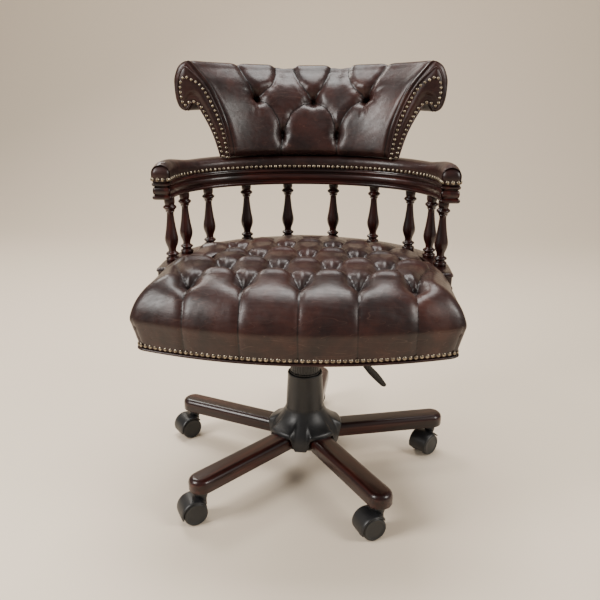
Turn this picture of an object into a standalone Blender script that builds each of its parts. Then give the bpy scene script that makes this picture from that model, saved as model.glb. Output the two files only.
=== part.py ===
"""Swivel captain's chair for an office: a buttoned leather seat and a rolled
wrap-around back on a turned-spindle gallery, carried by a tilting, gas-lifted
column on five wooden legs with twin-wheel casters. Metres, +Z up, front faces -Y.
"""
import math

import bmesh
import bpy
from mathutils import Matrix, Vector

# ---------------------------------------------------------------- driving dimensions
GAP = 0.0003            # between pieces that touch on the real chair
RUN = 0.0004            # radial running clearance of a shaft in its bore
SLEEVE = 0.0005         # radial clearance between two telescoping covers
COLUMN_Y = 0.011        # where the column stands behind the middle of the chair's box

# base
LEG_COUNT = 5
LEG_FIRST_DEG = 14.1    # direction of the first leg, counter-clockwise from +X
LEG_WIDTH = 0.051
LEG_BOTTOM = 0.068
LEG_THICK = 0.030
LEG_ROUND = 0.008       # round-over along the top edges
LEG_ARRIS = 0.002       # small bevel along the bottom edges
LEG_ROOT = 0.037        # inner end of a leg, from the column axis
STEM_CIRCLE = 0.3035    # radius of the circle of caster stems
SOCKET_DEPTH = 0.022

HUB_LIP = 0.002         # the hub reaches this far below the legs
HUB_HEIGHT = 0.072
HUB_SKIRT_R = 0.079
HUB_SKIRT_DROP = 0.060  # the bell meets its skirt this far below its top
HUB_MOUTH_R = 0.044     # flat ring under the lowest cover
# radius of the bell at each drop below its top
HUB_BELL = ((0.048, 0.014), (0.058, 0.027), (0.071, 0.040))
TUBE_R = 0.025
TUBE_WALL = 0.003
TUBE_RECESS = 0.004     # the tube's end stands this far up inside the hub
TUBE_FLOOR = 0.004
TUBE_SPARE = 0.026      # tube above what the bush needs at full height

# casters
WHEEL_R = 0.025
WHEEL_WIDTH = 0.0155
HOOD_WEB = 0.0145
HOOD_WALL = 0.0022
HOOD_RUN = 0.0008       # between a wheel's tread and the hood
HOOD_EDGE = 0.002       # bevel along the hood's sides
WHEEL_EDGE = 0.003      # bevel round a wheel's tread
TRAIL = 0.019
AXLE_R = 0.004
AXLE_PROUD = 0.0005
STEM_R = 0.005
STEM_FLANGE_R = 0.009
STEM_FLANGE = 0.004
STEM_SOCKET = 0.024     # depth of the stem's bore in the hood
BOSS_R = 0.0095
BOSS_NECK_R = 0.007
TRAIL_DEGS = (226.0, 220.0, 218.0, 208.0, 206.0)   # which way each caster trails

# lift column
STROKE = 0.100
COLUMN_RISE = 0.222     # from the hub's top to the top of the gas cylinder
CYLINDER_R = 0.014
CYLINDER_LENGTH = 0.252
ROD_R = 0.005
ROD_HOLD = 0.030        # how much rod the cylinder still holds at full height
ROD_HEADROOM = 0.012    # bore above the rod's end
BEARING = 0.006
BEARING_R = 0.0135
ROD_COLLAR = 0.004
ROD_COLLAR_R = 0.010
BUSH_LENGTH = 0.044
BUTTON_R = 0.004
BUTTON_HEIGHT = 0.008
BUTTON_PROUD = 0.0065
BUTTON_POCKET = 0.008

COVER_UPPER_R = 0.0325
COVER_WALL = 0.0015
COVER_STEP = 0.005      # each inner cover starts this much higher than the one outside it
COVER_LOWER_HEIGHT = 0.090
COVER_LOWER_FOOT_R = 0.043
COVER_LOWER_HEAD_R = 0.0378
COVER_FOOT = 0.006      # height of the lower cover's foot ring
COVER_LIP = 0.003       # the middle cover shows this much above the lower one

# tilt mechanism
PAN_HALF_X = 0.045
PAN_FRONT = -0.095
PAN_REAR = 0.050
PAN_HEIGHT = 0.023
PAN_WALL = 0.003
PAN_BOSS_R = 0.021
PAN_BOSS_HEIGHT = 0.0347
PAN_BOSS_DROP = 0.002   # the cylinder stands this far out of its boss
PAN_RIM = 0.003         # and the pan's rim this far above the cylinder
TILT_Y = 0.032
TILT_PIN_R = 0.005
TENSION_Y = -0.068
TENSION_SLOT_R = 0.0125
TENSION_SLOT_SHIFT = 0.003  # the bolt swings forward as the seat tilts back
TENSION_BOLT_R = 0.004
KNOB_R = 0.022
KNOB_HEIGHT = 0.020
KNOB_EDGE = 0.003
SPRING_LENGTH = 0.0334
SPRING_R = 0.016
SPRING_WIRE_R = 0.0018
SPRING_TURNS = 3.0

LEVER_X = 0.030
LEVER_ROD_R = 0.0037
LEVER_PIN_R = 0.003
LEVER_LUG = 0.003
LEVER_LUG_HALF_X = 0.006
LEVER_SIDE_GAP = 0.0008
LEVER_LIFT = 0.0006     # between the resting lever and the valve button

PLATE_HALF_X = 0.078
PLATE_FRONT = -0.110
PLATE_REAR = 0.115
PLATE_THICK = 0.003
PLATE_RISE = 0.0267     # from the pan's rim to the top of the seat plate
PLATE_HOLE_R = 0.0035
PLATE_HOLE_INSET = 0.012
EAR_HALF_Y = 0.012
EAR_DROP = 0.0085       # how far an ear reaches below the tilt pin's axis
EAR_GAP = 0.001
PIN_PROUD = 0.008       # how far the tilt pin stands out of the pan on each side
THROUGH = 0.010         # how far a cutter runs past what it cuts

# seat
BOARD_THICK = 0.018
BOARD_PROUD = 0.0025    # the board's side outside the plinth's centre line
BOARD_CORNER_Y = -0.278
BOARD_FRONT_Y = -0.328
GALLERY_Y = -0.030      # where the straight arms of every horseshoe meet the bend
RIM_HEIGHT = 0.040
RIM_HALF = 0.014
RIM_SETBACK = 0.006     # the board and its rim stop this far inside the plinth
PLINTH_THICK = 0.0365
PLINTH_A = 0.2805       # half width of the plinth's centre line
PLINTH_B = 0.232        # depth of its bend
PLINTH_FRONT = -0.082
PLINTH_HALF = 0.0205
PLINTH_HALF_BACK = 0.029
CUSHION_BULGE = 0.015   # the cushion's widest line outside the board's side
CUSHION_FRONT = -0.350
CUSHION_CORNER_Y = -0.285
CUSHION_RISE = 0.112    # from the board to the crown
CUSHION_SIDE_GAP = 0.002
CUSHION_WIDEST_Y = -0.190
CUSHION_LAP = 0.020     # how far the cushion laps across the plinth's end
# share of the outline, and height above the board or below the crown
CUSHION_SIDE = ((0.955, 0.0003), (0.995, 0.015), (1.0, 0.045), (0.965, 0.078), (0.86, 0.098))
CUSHION_CROWN = ((0.66, 0.006), (0.35, 0.0))

# gallery of spindles
SPINDLE_RISE = 0.134    # from plinth to rail
SPINDLE_DEGS = (2.5, 19.5, 36.8, 58.4, 79.0)       # and the same on the left
RAIL_THICK = 0.036
RAIL_SPREAD = 0.008     # the rail's centre line stands this far outside the plinth's
RAIL_DRAW = 0.005       # and at the back this far inside it
RAIL_FRONT = -0.048
RAIL_HALF = 0.020
RAIL_HALF_BACK = 0.032
PAD_THICK = 0.0305
PAD_SWELL = 0.003       # how far the pad swells past the rail on each side

# back
BACK_SETBACK_X = 0.0265     # foot of the back's front face inside the rail's centre line
BACK_SETBACK_Y = 0.027
BACK_END_DEG = 48.5
FACING_THICK = 0.008
FACING_GAP = 0.0007
BACK_PAD = 0.018        # how far the padding reaches into the section
PAD_SEAM = 0.0007       # between the padding and the frame behind it

# ---------------------------------------------------------------- widths that follow the plinth
BOARD_HALF_X = PLINTH_A + BOARD_PROUD
CUSHION_WIDE = BOARD_HALF_X + CUSHION_BULGE
RAIL_A = PLINTH_A + RAIL_SPREAD
RAIL_B = PLINTH_B - RAIL_DRAW
BACK_A = RAIL_A - BACK_SETBACK_X
BACK_B = RAIL_B - BACK_SETBACK_Y

# ---------------------------------------------------------------- heights, floor to crest
LEG_TOP = LEG_BOTTOM + LEG_THICK
HUB_BOTTOM = LEG_BOTTOM - HUB_LIP
HUB_TOP = HUB_BOTTOM + HUB_HEIGHT
TUBE_BOTTOM = HUB_BOTTOM + TUBE_RECESS
CYLINDER_TOP = HUB_TOP + COLUMN_RISE
CYLINDER_BOTTOM = CYLINDER_TOP - CYLINDER_LENGTH
ROD_TOP = CYLINDER_BOTTOM + STROKE + ROD_HOLD
CYLINDER_BORE_TOP = ROD_TOP + ROD_HEADROOM
TUBE_TOP = CYLINDER_BOTTOM + STROKE + BUSH_LENGTH + TUBE_SPARE
COVER_LOWER_TOP = HUB_TOP + COVER_LOWER_HEIGHT
BUTTON_TOP = CYLINDER_TOP + BUTTON_PROUD
LEVER_Z = BUTTON_TOP + LEVER_ROD_R + LEVER_LIFT
PAN_TOP = CYLINDER_TOP + PAN_RIM
PAN_BOTTOM = PAN_TOP - PAN_HEIGHT
PAN_BOSS_TOP = CYLINDER_TOP - PAN_BOSS_DROP
PAN_BOSS_BOTTOM = PAN_BOSS_TOP - PAN_BOSS_HEIGHT
TILT_Z = PAN_BOTTOM + PAN_HEIGHT / 2
KNOB_TOP = PAN_BOTTOM - SPRING_LENGTH - 2 * GAP
KNOB_BOTTOM = KNOB_TOP - KNOB_HEIGHT
PLATE_TOP = PAN_TOP + PLATE_RISE
PLATE_BOTTOM = PLATE_TOP - PLATE_THICK
BOARD_BOTTOM = PLATE_TOP + GAP
BOARD_TOP = BOARD_BOTTOM + BOARD_THICK
CUSHION_TOP = BOARD_TOP + CUSHION_RISE
PLINTH_BOTTOM = BOARD_TOP + RIM_HEIGHT
PLINTH_TOP = PLINTH_BOTTOM + PLINTH_THICK
RAIL_BOTTOM = PLINTH_TOP + SPINDLE_RISE
RAIL_TOP = RAIL_BOTTOM + RAIL_THICK
PAD_BOTTOM = RAIL_TOP + GAP
PAD_TOP = RAIL_TOP + PAD_THICK
BACK_FOOT = PAD_TOP + GAP


# ---------------------------------------------------------------- helpers
for old in list(bpy.data.objects):
    bpy.data.objects.remove(old, do_unlink=True)


def material(name, colour, roughness, metallic=0.0):
    made = bpy.data.materials.new(name)
    made.use_nodes = True
    shader = made.node_tree.nodes["Principled BSDF"]
    shader.inputs["Base Color"].default_value = (*colour, 1.0)
    shader.inputs["Roughness"].default_value = roughness
    shader.inputs["Metallic"].default_value = metallic
    made.diffuse_color = (*colour, 1.0)
    return made


MAHOGANY = material("mahogany", (0.075, 0.016, 0.011), 0.18)
LEATHER = material("leather", (0.060, 0.020, 0.016), 0.42)
PLASTIC = material("black_plastic", (0.012, 0.012, 0.013), 0.45)
STEEL = material("black_steel", (0.020, 0.020, 0.022), 0.40, 1.0)
BRIGHT = material("bright_steel", (0.550, 0.550, 0.560), 0.25, 1.0)
PLYWOOD = material("plywood", (0.420, 0.280, 0.160), 0.60)


def empty(name, at, parent=None):
    made = bpy.data.objects.new(name, None)
    bpy.context.collection.objects.link(made)
    place(made, at, parent)
    return made


def place(thing, at, parent):
    """Put a thing at a point of the chair's own frame, also under a parent."""
    bpy.context.view_layer.update()
    home = CHAIR if parent is None and thing is not CHAIR else parent
    origin = home.matrix_world.translation - Vector((0, COLUMN_Y, 0)) if home else Vector()
    thing.parent = home
    thing.location = Vector(at) - origin


def solid(name, bm, finish, at=(0, 0, 0), parent=None, turn=0.0, sharp_deg=35.0):
    """An object from a closed bmesh whose points are measured from its place."""
    bmesh.ops.recalc_face_normals(bm, faces=bm.faces)
    mesh = bpy.data.meshes.new(name)
    bm.to_mesh(mesh)
    bm.free()
    mesh.shade_smooth()
    mesh.set_sharp_from_angle(angle=math.radians(sharp_deg))
    mesh.materials.append(finish)
    made = bpy.data.objects.new(name, mesh)
    bpy.context.collection.objects.link(made)
    place(made, at, parent)
    made.rotation_euler = (0, 0, turn)
    return made


def loft(rings, bm=None, capped=True):
    """Skin rings of points, one to the next, and close the two ends."""
    bm = bm or bmesh.new()
    rows = [[bm.verts.new(p) for p in ring] for ring in rings]
    count = len(rows[0])
    for low, high in zip(rows, rows[1:]):
        for i in range(count):
            j = (i + 1) % count
            bm.faces.new((low[i], low[j], high[j], high[i]))
    if capped:
        bm.faces.new(rows[0])
        bm.faces.new(rows[-1])
    return bm


def lathe(profile, sides=20, hollow=False):
    """Turn (radius, height) points about Z; hollow closes the profile on itself."""
    rings = []
    for radius, height in profile:
        rings.append([
            (radius * math.cos(2 * math.pi * i / sides),
             radius * math.sin(2 * math.pi * i / sides), height)
            for i in range(sides)
        ])
    if hollow:
        bm = loft(rings + rings[:1], capped=False)
        bmesh.ops.remove_doubles(bm, verts=bm.verts, dist=1e-6)
        return bm
    return loft(rings)


def block(low, high, bm=None):
    """A box between two corners."""
    bm = bm or bmesh.new()
    size = Vector(high) - Vector(low)
    centre = (Vector(high) + Vector(low)) / 2
    bmesh.ops.create_cube(
        bm, size=1.0, matrix=Matrix.Translation(centre) @ Matrix.Diagonal((*size, 1.0)))
    return bm


def rod(start, end, radius, sides=16):
    """A cylinder between two points."""
    start, end = Vector(start), Vector(end)
    way = end - start
    bm = bmesh.new()
    turn = way.to_track_quat("Z", "Y").to_matrix().to_4x4()
    bmesh.ops.create_cone(
        bm, cap_ends=True, segments=sides, radius1=radius, radius2=radius,
        depth=way.length, matrix=Matrix.Translation((start + end) / 2) @ turn)
    return bm


def combine(target, tool, how):
    """Cut or join a tool into a target, and keep the tool as a wire guide."""
    tool.name = f"{target.name}_{how.lower()}_{len(target.modifiers)}"
    tool.hide_render = True
    tool.display_type = "WIRE"
    step = target.modifiers.new(how.title(), "BOOLEAN")
    step.operation = how
    step.solver = "EXACT"
    step.object = tool


def cut(target, bm, at=(0, 0, 0), parent=None, turn=0.0):
    combine(target, solid("tool", bm, STEEL, at, parent, turn), "DIFFERENCE")


def join(target, bm, at=(0, 0, 0), parent=None, turn=0.0):
    combine(target, solid("tool", bm, STEEL, at, parent, turn), "UNION")


CHAIR = None
CHAIR = empty("chair", (0, COLUMN_Y, 0))


def polar(radius, angle, height=0.0):
    return Vector((radius * math.cos(angle), radius * math.sin(angle), height))


# ---------------------------------------------------------------- five-legged base
LEG_ANGLES = [
    math.radians(LEG_FIRST_DEG + 360 * i / LEG_COUNT) for i in range(LEG_COUNT)
]


def leg_rings(grow=0.0, bottom=LEG_BOTTOM, tip_steps=10):
    """Plan outlines of a leg along +X, from its underside to its flat top."""
    steps = [(LEG_ARRIS, bottom), (0.0, bottom + LEG_ARRIS)]
    for i in range(4):
        angle = math.radians(90 * i / 3)
        steps.append((LEG_ROUND * (1 - math.cos(angle)),
                      LEG_TOP + grow - LEG_ROUND * (1 - math.sin(angle))))
    rings = []
    for inset, height in steps:
        half = LEG_WIDTH / 2 + grow - inset
        ring = [(LEG_ROOT - grow, half, height), (LEG_ROOT - grow, -half, height)]
        for i in range(tip_steps + 1):
            angle = math.pi * (i / tip_steps - 0.5)
            ring.append((STEM_CIRCLE + half * math.cos(angle), half * math.sin(angle), height))
        rings.append(ring)
    return rings


hub_profile = [(TUBE_R + GAP, HUB_TOP), (HUB_MOUTH_R, HUB_TOP)]
hub_profile += [(radius, HUB_TOP - drop) for radius, drop in HUB_BELL]
hub_profile += [(HUB_SKIRT_R, HUB_TOP - HUB_SKIRT_DROP), (HUB_SKIRT_R, HUB_BOTTOM),
                (TUBE_R + GAP, HUB_BOTTOM)]
base_hub = solid("base_hub", lathe(hub_profile, 30, hollow=True), PLASTIC)
for number, angle in enumerate(LEG_ANGLES, 1):
    cut(base_hub, loft(leg_rings(GAP, HUB_BOTTOM - THROUGH)), turn=angle)
    leg = solid(f"leg_{number}", loft(leg_rings()), MAHOGANY, turn=angle)
    socket = rod((STEM_CIRCLE, 0, LEG_BOTTOM - THROUGH),
                 (STEM_CIRCLE, 0, LEG_BOTTOM + SOCKET_DEPTH + GAP), STEM_R + GAP)
    cut(leg, socket, turn=angle)

TUBE_BORE = TUBE_R - TUBE_WALL
FLOOR_TOP = TUBE_BOTTOM + TUBE_FLOOR
solid("pedestal_tube", lathe([
    (ROD_R + RUN, TUBE_BOTTOM), (TUBE_R, TUBE_BOTTOM), (TUBE_R, TUBE_TOP),
    (TUBE_BORE, TUBE_TOP), (TUBE_BORE, FLOOR_TOP), (ROD_R + RUN, FLOOR_TOP),
], hollow=True), STEEL)
solid("guide_bush", lathe([
    (CYLINDER_R + RUN, TUBE_TOP - GAP - BUSH_LENGTH), (TUBE_BORE - GAP, TUBE_TOP - GAP - BUSH_LENGTH),
    (TUBE_BORE - GAP, TUBE_TOP - GAP), (CYLINDER_R + RUN, TUBE_TOP - GAP),
], hollow=True), PLASTIC)
BEARING_BOTTOM = FLOOR_TOP + GAP
BEARING_TOP = BEARING_BOTTOM + BEARING
solid("thrust_bearing", lathe([
    (ROD_R + RUN, BEARING_BOTTOM), (BEARING_R, BEARING_BOTTOM),
    (BEARING_R, BEARING_TOP), (ROD_R + RUN, BEARING_TOP),
], hollow=True), BRIGHT)

COVER_UPPER_BORE = COVER_UPPER_R - COVER_WALL
COVER_MIDDLE_BORE = COVER_UPPER_R + SLEEVE
COVER_MIDDLE_R = COVER_MIDDLE_BORE + COVER_WALL
COVER_LOWER_BORE = COVER_MIDDLE_R + SLEEVE
solid("cover_lower", lathe([
    (COVER_LOWER_BORE, HUB_TOP + GAP), (COVER_LOWER_FOOT_R, HUB_TOP + GAP),
    (COVER_LOWER_FOOT_R, HUB_TOP + COVER_FOOT),
    (COVER_LOWER_FOOT_R - 0.002, HUB_TOP + 1.5 * COVER_FOOT),
    (COVER_LOWER_HEAD_R, COVER_LOWER_TOP - COVER_LIP), (COVER_LOWER_HEAD_R - 0.001, COVER_LOWER_TOP),
    (COVER_LOWER_BORE, COVER_LOWER_TOP),
], 32, hollow=True), PLASTIC)


# ---------------------------------------------------------------- casters
def caster(number, stem_angle, trail_angle):
    """Stem in the leg, hood that swivels on it, two wheels on the hood's axle."""
    stem_at = polar(STEM_CIRCLE, stem_angle)
    flange_top = LEG_BOTTOM - GAP
    boss_top = flange_top - STEM_FLANGE - GAP
    pocket_bottom = boss_top - STEM_SOCKET
    solid(f"caster_stem_{number}", lathe([
        (STEM_R, pocket_bottom + GAP), (STEM_R, flange_top - STEM_FLANGE),
        (STEM_FLANGE_R, flange_top - STEM_FLANGE), (STEM_FLANGE_R, flange_top),
        (STEM_R, flange_top), (STEM_R, LEG_BOTTOM + SOCKET_DEPTH),
    ], 12), BRIGHT, stem_at)

    swivel = empty(f"caster_{number}", stem_at)
    axle = Vector((TRAIL, 0, WHEEL_R))
    inner = WHEEL_R + HOOD_RUN
    outer = inner + HOOD_WALL
    wide = HOOD_WEB / 2 + GAP + WHEEL_WIDTH

    def along(angle_deg, radius, side):
        angle = math.radians(angle_deg)
        return (axle.x + radius * math.cos(angle), side, axle.z + radius * math.sin(angle))

    fender_degs = [-10 + 18 * i for i in range(9)]
    fender = [[along(a, inner, -wide), along(a, outer, -wide + HOOD_EDGE),
               along(a, outer, wide - HOOD_EDGE), along(a, inner, wide)] for a in fender_degs]
    hood = solid(f"caster_hood_{number}", loft(fender), PLASTIC, stem_at, turn=trail_angle)
    web_degs = [-10 + 20 * i for i in range(11)]
    web = [[along(a, outer - 0.001, s * HOOD_WEB / 2) for a in web_degs] for s in (-1, 1)]
    join(hood, loft(web), stem_at, turn=trail_angle)
    boss = lathe([
        (BOSS_NECK_R, axle.z), (BOSS_NECK_R, 2 * WHEEL_R - 0.006), (BOSS_R, 2 * WHEEL_R + 0.003),
        (BOSS_R, boss_top),
    ], 12)
    join(hood, boss, stem_at, turn=trail_angle)
    pin_half = wide + AXLE_PROUD
    pin = rod((axle.x, -pin_half, axle.z), (axle.x, pin_half, axle.z), AXLE_R, 12)
    join(hood, pin, stem_at, turn=trail_angle)
    bore = rod((0, 0, pocket_bottom), (0, 0, boss_top + THROUGH), STEM_R + RUN, 12)
    cut(hood, bore, stem_at, turn=trail_angle)
    place(hood, stem_at, swivel)

    axle_at = stem_at + Matrix.Rotation(trail_angle, 3, "Z") @ axle
    for side, name in ((-1, "right"), (1, "left")):
        near = HOOD_WEB / 2 + GAP
        far = near + WHEEL_WIDTH
        profile = [
            (AXLE_R + RUN, near), (WHEEL_R - WHEEL_EDGE, near), (WHEEL_R, near + WHEEL_EDGE),
            (WHEEL_R, far - WHEEL_EDGE), (WHEEL_R - WHEEL_EDGE, far), (AXLE_R + RUN, far),
        ]
        disc = lathe(profile, 22, hollow=True)
        onto_axle = Matrix.Rotation(math.radians(-90 * side), 4, "X")
        bmesh.ops.transform(disc, matrix=onto_axle, verts=disc.verts)
        solid(f"caster_wheel_{name}_{number}", disc, PLASTIC, axle_at, swivel, trail_angle)


for number, (angle, trail) in enumerate(zip(LEG_ANGLES, TRAIL_DEGS), 1):
    caster(number, angle, math.radians(trail))

# ---------------------------------------------------------------- lift column
solid("piston_rod", lathe([
    (ROD_R, TUBE_BOTTOM + GAP), (ROD_R, BEARING_TOP + GAP), (ROD_COLLAR_R, BEARING_TOP + GAP),
    (ROD_COLLAR_R, BEARING_TOP + ROD_COLLAR), (ROD_R, BEARING_TOP + ROD_COLLAR), (ROD_R, ROD_TOP),
], 12), BRIGHT)

cylinder = solid("gas_cylinder", lathe([
    (CYLINDER_R, CYLINDER_BOTTOM), (CYLINDER_R, CYLINDER_TOP),
]), STEEL)
cut(cylinder, rod((0, 0, CYLINDER_BOTTOM - THROUGH), (0, 0, CYLINDER_BORE_TOP), ROD_R + RUN))
cut(cylinder, rod((0, 0, CYLINDER_TOP - BUTTON_POCKET), (0, 0, CYLINDER_TOP + THROUGH), BUTTON_R + RUN))
solid("valve_button", lathe([
    (BUTTON_R, -BUTTON_HEIGHT), (BUTTON_R, -0.0005), (BUTTON_R - 0.0005, 0),
], 16), BRIGHT, (0, 0, BUTTON_TOP))

solid("cover_middle", lathe([
    (COVER_MIDDLE_BORE, HUB_TOP + COVER_STEP), (COVER_MIDDLE_R, HUB_TOP + COVER_STEP),
    (COVER_MIDDLE_R, COVER_LOWER_TOP + COVER_LIP), (COVER_MIDDLE_BORE, COVER_LOWER_TOP + COVER_LIP),
], 32, hollow=True), PLASTIC)
solid("cover_upper", lathe([
    (COVER_UPPER_BORE, HUB_TOP + 2 * COVER_STEP), (COVER_UPPER_R, HUB_TOP + 2 * COVER_STEP),
    (COVER_UPPER_R, PAN_BOSS_BOTTOM - GAP), (CYLINDER_R + GAP, PAN_BOSS_BOTTOM - GAP),
    (CYLINDER_R + GAP, PAN_BOSS_BOTTOM - GAP - COVER_WALL),
    (COVER_UPPER_BORE, PAN_BOSS_BOTTOM - GAP - COVER_WALL),
], 32, hollow=True), PLASTIC)

# ---------------------------------------------------------------- tilt mechanism
housing = solid("tilt_housing", block(
    (-PAN_HALF_X, PAN_FRONT, PAN_BOTTOM), (PAN_HALF_X, PAN_REAR, PAN_TOP)), STEEL)
cut(housing, block(
    (-PAN_HALF_X + PAN_WALL, PAN_FRONT + PAN_WALL, PAN_BOTTOM + PAN_WALL),
    (PAN_HALF_X - PAN_WALL, PAN_REAR - PAN_WALL, PAN_TOP + THROUGH)))
join(housing, rod((0, 0, PAN_BOSS_BOTTOM), (0, 0, PAN_BOSS_TOP), PAN_BOSS_R, 24))
LUG_NEAR = LEVER_ROD_R + LEVER_SIDE_GAP
LUG_FAR = LUG_NEAR + LEVER_LUG
for side in (-1, 1):
    near, far = sorted((side * LUG_NEAR, side * LUG_FAR))
    join(housing, block((LEVER_X - LEVER_LUG_HALF_X, near, PAN_BOTTOM + PAN_WALL / 2),
                        (LEVER_X + LEVER_LUG_HALF_X, far, LEVER_Z + LEVER_LUG_HALF_X)))
cut(housing, rod((0, 0, PAN_BOSS_BOTTOM - THROUGH), (0, 0, PAN_BOSS_TOP + THROUGH),
                 CYLINDER_R + GAP, 24))
SLOT_Y = TENSION_Y - TENSION_SLOT_SHIFT
cut(housing, rod((0, SLOT_Y, PAN_BOTTOM - THROUGH), (0, SLOT_Y, PAN_BOTTOM + THROUGH), TENSION_SLOT_R))
cut(housing, rod((-PAN_HALF_X - THROUGH, TILT_Y, TILT_Z), (PAN_HALF_X + THROUGH, TILT_Y, TILT_Z),
                 TILT_PIN_R + GAP))
cut(housing, rod((LEVER_X, -LUG_FAR - THROUGH / 2, LEVER_Z), (LEVER_X, LUG_FAR + THROUGH / 2, LEVER_Z),
                 LEVER_PIN_R + RUN))


def helix(radius, wire, bottom, top, turns, per_turn=12, sides=6):
    """A coil spring standing on Z, with its end turns cut square."""
    rise = (top - bottom - 2 * wire) / turns
    rings = []
    for i in range(round(turns * per_turn) + 1):
        turn = i / per_turn
        angle = 2 * math.pi * turn
        centre = polar(radius, angle, bottom + wire + rise * turn)
        ring = []
        for j in range(sides):
            around = 2 * math.pi * j / sides
            ring.append(centre + polar(wire * math.cos(around), angle, wire * math.sin(around)))
        rings.append(ring)
    return loft(rings)


solid("tension_spring", helix(SPRING_R, SPRING_WIRE_R, KNOB_TOP + GAP, PAN_BOTTOM - GAP, SPRING_TURNS),
      BRIGHT, (0, TENSION_Y, 0))

PIN_HALF = PAN_HALF_X + PIN_PROUD
solid("tilt_pin", rod((-PIN_HALF, 0, 0), (PIN_HALF, 0, 0), TILT_PIN_R), BRIGHT, (0, TILT_Y, TILT_Z))

# The release lever: a bent rod from over the valve button, out under the seat, to a
# flat paddle. Each station: point from the column at the pivot's height, half height,
# half breadth.
LEVER_PATH = (
    ((-0.002, 0.000, 0.0000), LEVER_ROD_R, LEVER_ROD_R),
    ((LEVER_X + 0.008, 0.000, 0.0000), LEVER_ROD_R, LEVER_ROD_R),
    ((0.056, -0.013, -0.0023), LEVER_ROD_R, LEVER_ROD_R),
    ((0.078, -0.045, -0.0168), LEVER_ROD_R, LEVER_ROD_R),
    ((0.100, -0.090, -0.0338), LEVER_ROD_R, LEVER_ROD_R),
    ((0.112, -0.116, -0.0448), 0.0040, 0.0060),
    ((0.122, -0.128, -0.0578), 0.0040, 0.0110),
    ((0.136, -0.133, -0.0768), 0.0040, 0.0120),
    ((0.152, -0.134, -0.0948), 0.0038, 0.0122),
    ((0.168, -0.134, -0.1083), 0.0034, 0.0115),
    ((0.176, -0.134, -0.1128), 0.0024, 0.0085),
)


def lever_mesh(sides=12):
    points = [Vector(p) - Vector((LEVER_X, 0, 0)) for p, _, _ in LEVER_PATH]
    rings = []
    for i, (_, tall, broad) in enumerate(LEVER_PATH):
        way = (points[min(i + 1, len(points) - 1)] - points[max(i - 1, 0)]).normalized()
        across = way.cross(Vector((0, 0, 1))).normalized()
        up = across.cross(way)
        rings.append([
            points[i] + across * broad * math.cos(2 * math.pi * j / sides)
            + up * tall * math.sin(2 * math.pi * j / sides)
            for j in range(sides)
        ])
    return loft(rings)


lever_at = (LEVER_X, 0, LEVER_Z)
lever = solid("height_lever", lever_mesh(), PLASTIC, lever_at)
join(lever, rod((0, -LUG_FAR - 0.001, 0), (0, LUG_FAR + 0.001, 0), LEVER_PIN_R, 12), lever_at)

# ---------------------------------------------------------------- seat
TILT = empty("tilt_axis", (0, TILT_Y, TILT_Z))
plate = solid("seat_plate", block(
    (-PLATE_HALF_X, PLATE_FRONT, PLATE_BOTTOM), (PLATE_HALF_X, PLATE_REAR, PLATE_TOP)),
    STEEL, parent=TILT, at=(0, 0, 0))
EAR_NEAR = PAN_HALF_X + EAR_GAP
for side in (-1, 1):
    near, far = sorted((side * EAR_NEAR, side * (EAR_NEAR + PLATE_THICK)))
    join(plate, block((near, TILT_Y - EAR_HALF_Y, TILT_Z - EAR_DROP),
                      (far, TILT_Y + EAR_HALF_Y, PLATE_BOTTOM + 0.001)))
cut(plate, rod((-PIN_HALF - THROUGH, TILT_Y, TILT_Z), (PIN_HALF + THROUGH, TILT_Y, TILT_Z),
               TILT_PIN_R + RUN))
for x in (-PLATE_HALF_X + PLATE_HOLE_INSET, PLATE_HALF_X - PLATE_HOLE_INSET):
    for y in (PLATE_FRONT + PLATE_HOLE_INSET, PLATE_REAR - PLATE_HOLE_INSET):
        cut(plate, rod((x, y, PLATE_BOTTOM - THROUGH), (x, y, PLATE_TOP + THROUGH), PLATE_HOLE_R, 12))

solid("tension_knob", lathe([
    (KNOB_R - KNOB_EDGE, KNOB_BOTTOM), (KNOB_R, KNOB_BOTTOM + KNOB_EDGE), (KNOB_R, KNOB_TOP - KNOB_EDGE),
    (KNOB_R - KNOB_EDGE, KNOB_TOP), (TENSION_BOLT_R, KNOB_TOP), (TENSION_BOLT_R, PLATE_BOTTOM - GAP),
], 20), PLASTIC, (0, TENSION_Y, 0), TILT)


def horseshoe(a, b, front, steps=24):
    """Points of a horseshoe from the right end round the back to the left end, each
    with the way outwards and how near the middle of the back it lies, 0 to 1."""
    stations = [(Vector((a, front, 0)), Vector((1, 0, 0)), 0.0)]
    for i in range(steps + 1):
        angle = math.pi * i / steps
        point = Vector((a * math.cos(angle), GALLERY_Y + b * math.sin(angle), 0))
        out = Vector((math.cos(angle) / a, math.sin(angle) / b, 0)).normalized()
        stations.append((point, out, math.sin(angle) ** 2))
    stations.append((Vector((-a, front, 0)), Vector((-1, 0, 0)), 0.0))
    return stations


def moulding(stations, half, half_back, side_profile):
    """Sweep a section along a horseshoe. side_profile runs up one side as
    (inset, height), and the other side mirrors it."""
    rings = []
    for point, out, backness in stations:
        width = half + (half_back - half) * backness
        ring = [point + out * (width - inset) + Vector((0, 0, z)) for inset, z in side_profile]
        ring += [point - out * (width - inset) + Vector((0, 0, z))
                 for inset, z in reversed(side_profile)]
        rings.append(ring)
    return loft(rings)


def seat_outline(wide, corner_y, front_y, a, b, front_steps=12, back_steps=16):
    """Plan of the seat: a bowed front, straight sides and a round back."""
    points = []
    bow = corner_y - front_y
    for i in range(front_steps + 1):
        across = -1 + 2 * i / front_steps
        points.append(Vector((wide * across, corner_y - bow * (1 - across ** 2), 0)))
    for i in range(back_steps + 1):
        angle = math.pi * i / back_steps
        points.append(Vector((a * math.cos(angle), GALLERY_Y + b * math.sin(angle), 0)))
    return points


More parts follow.
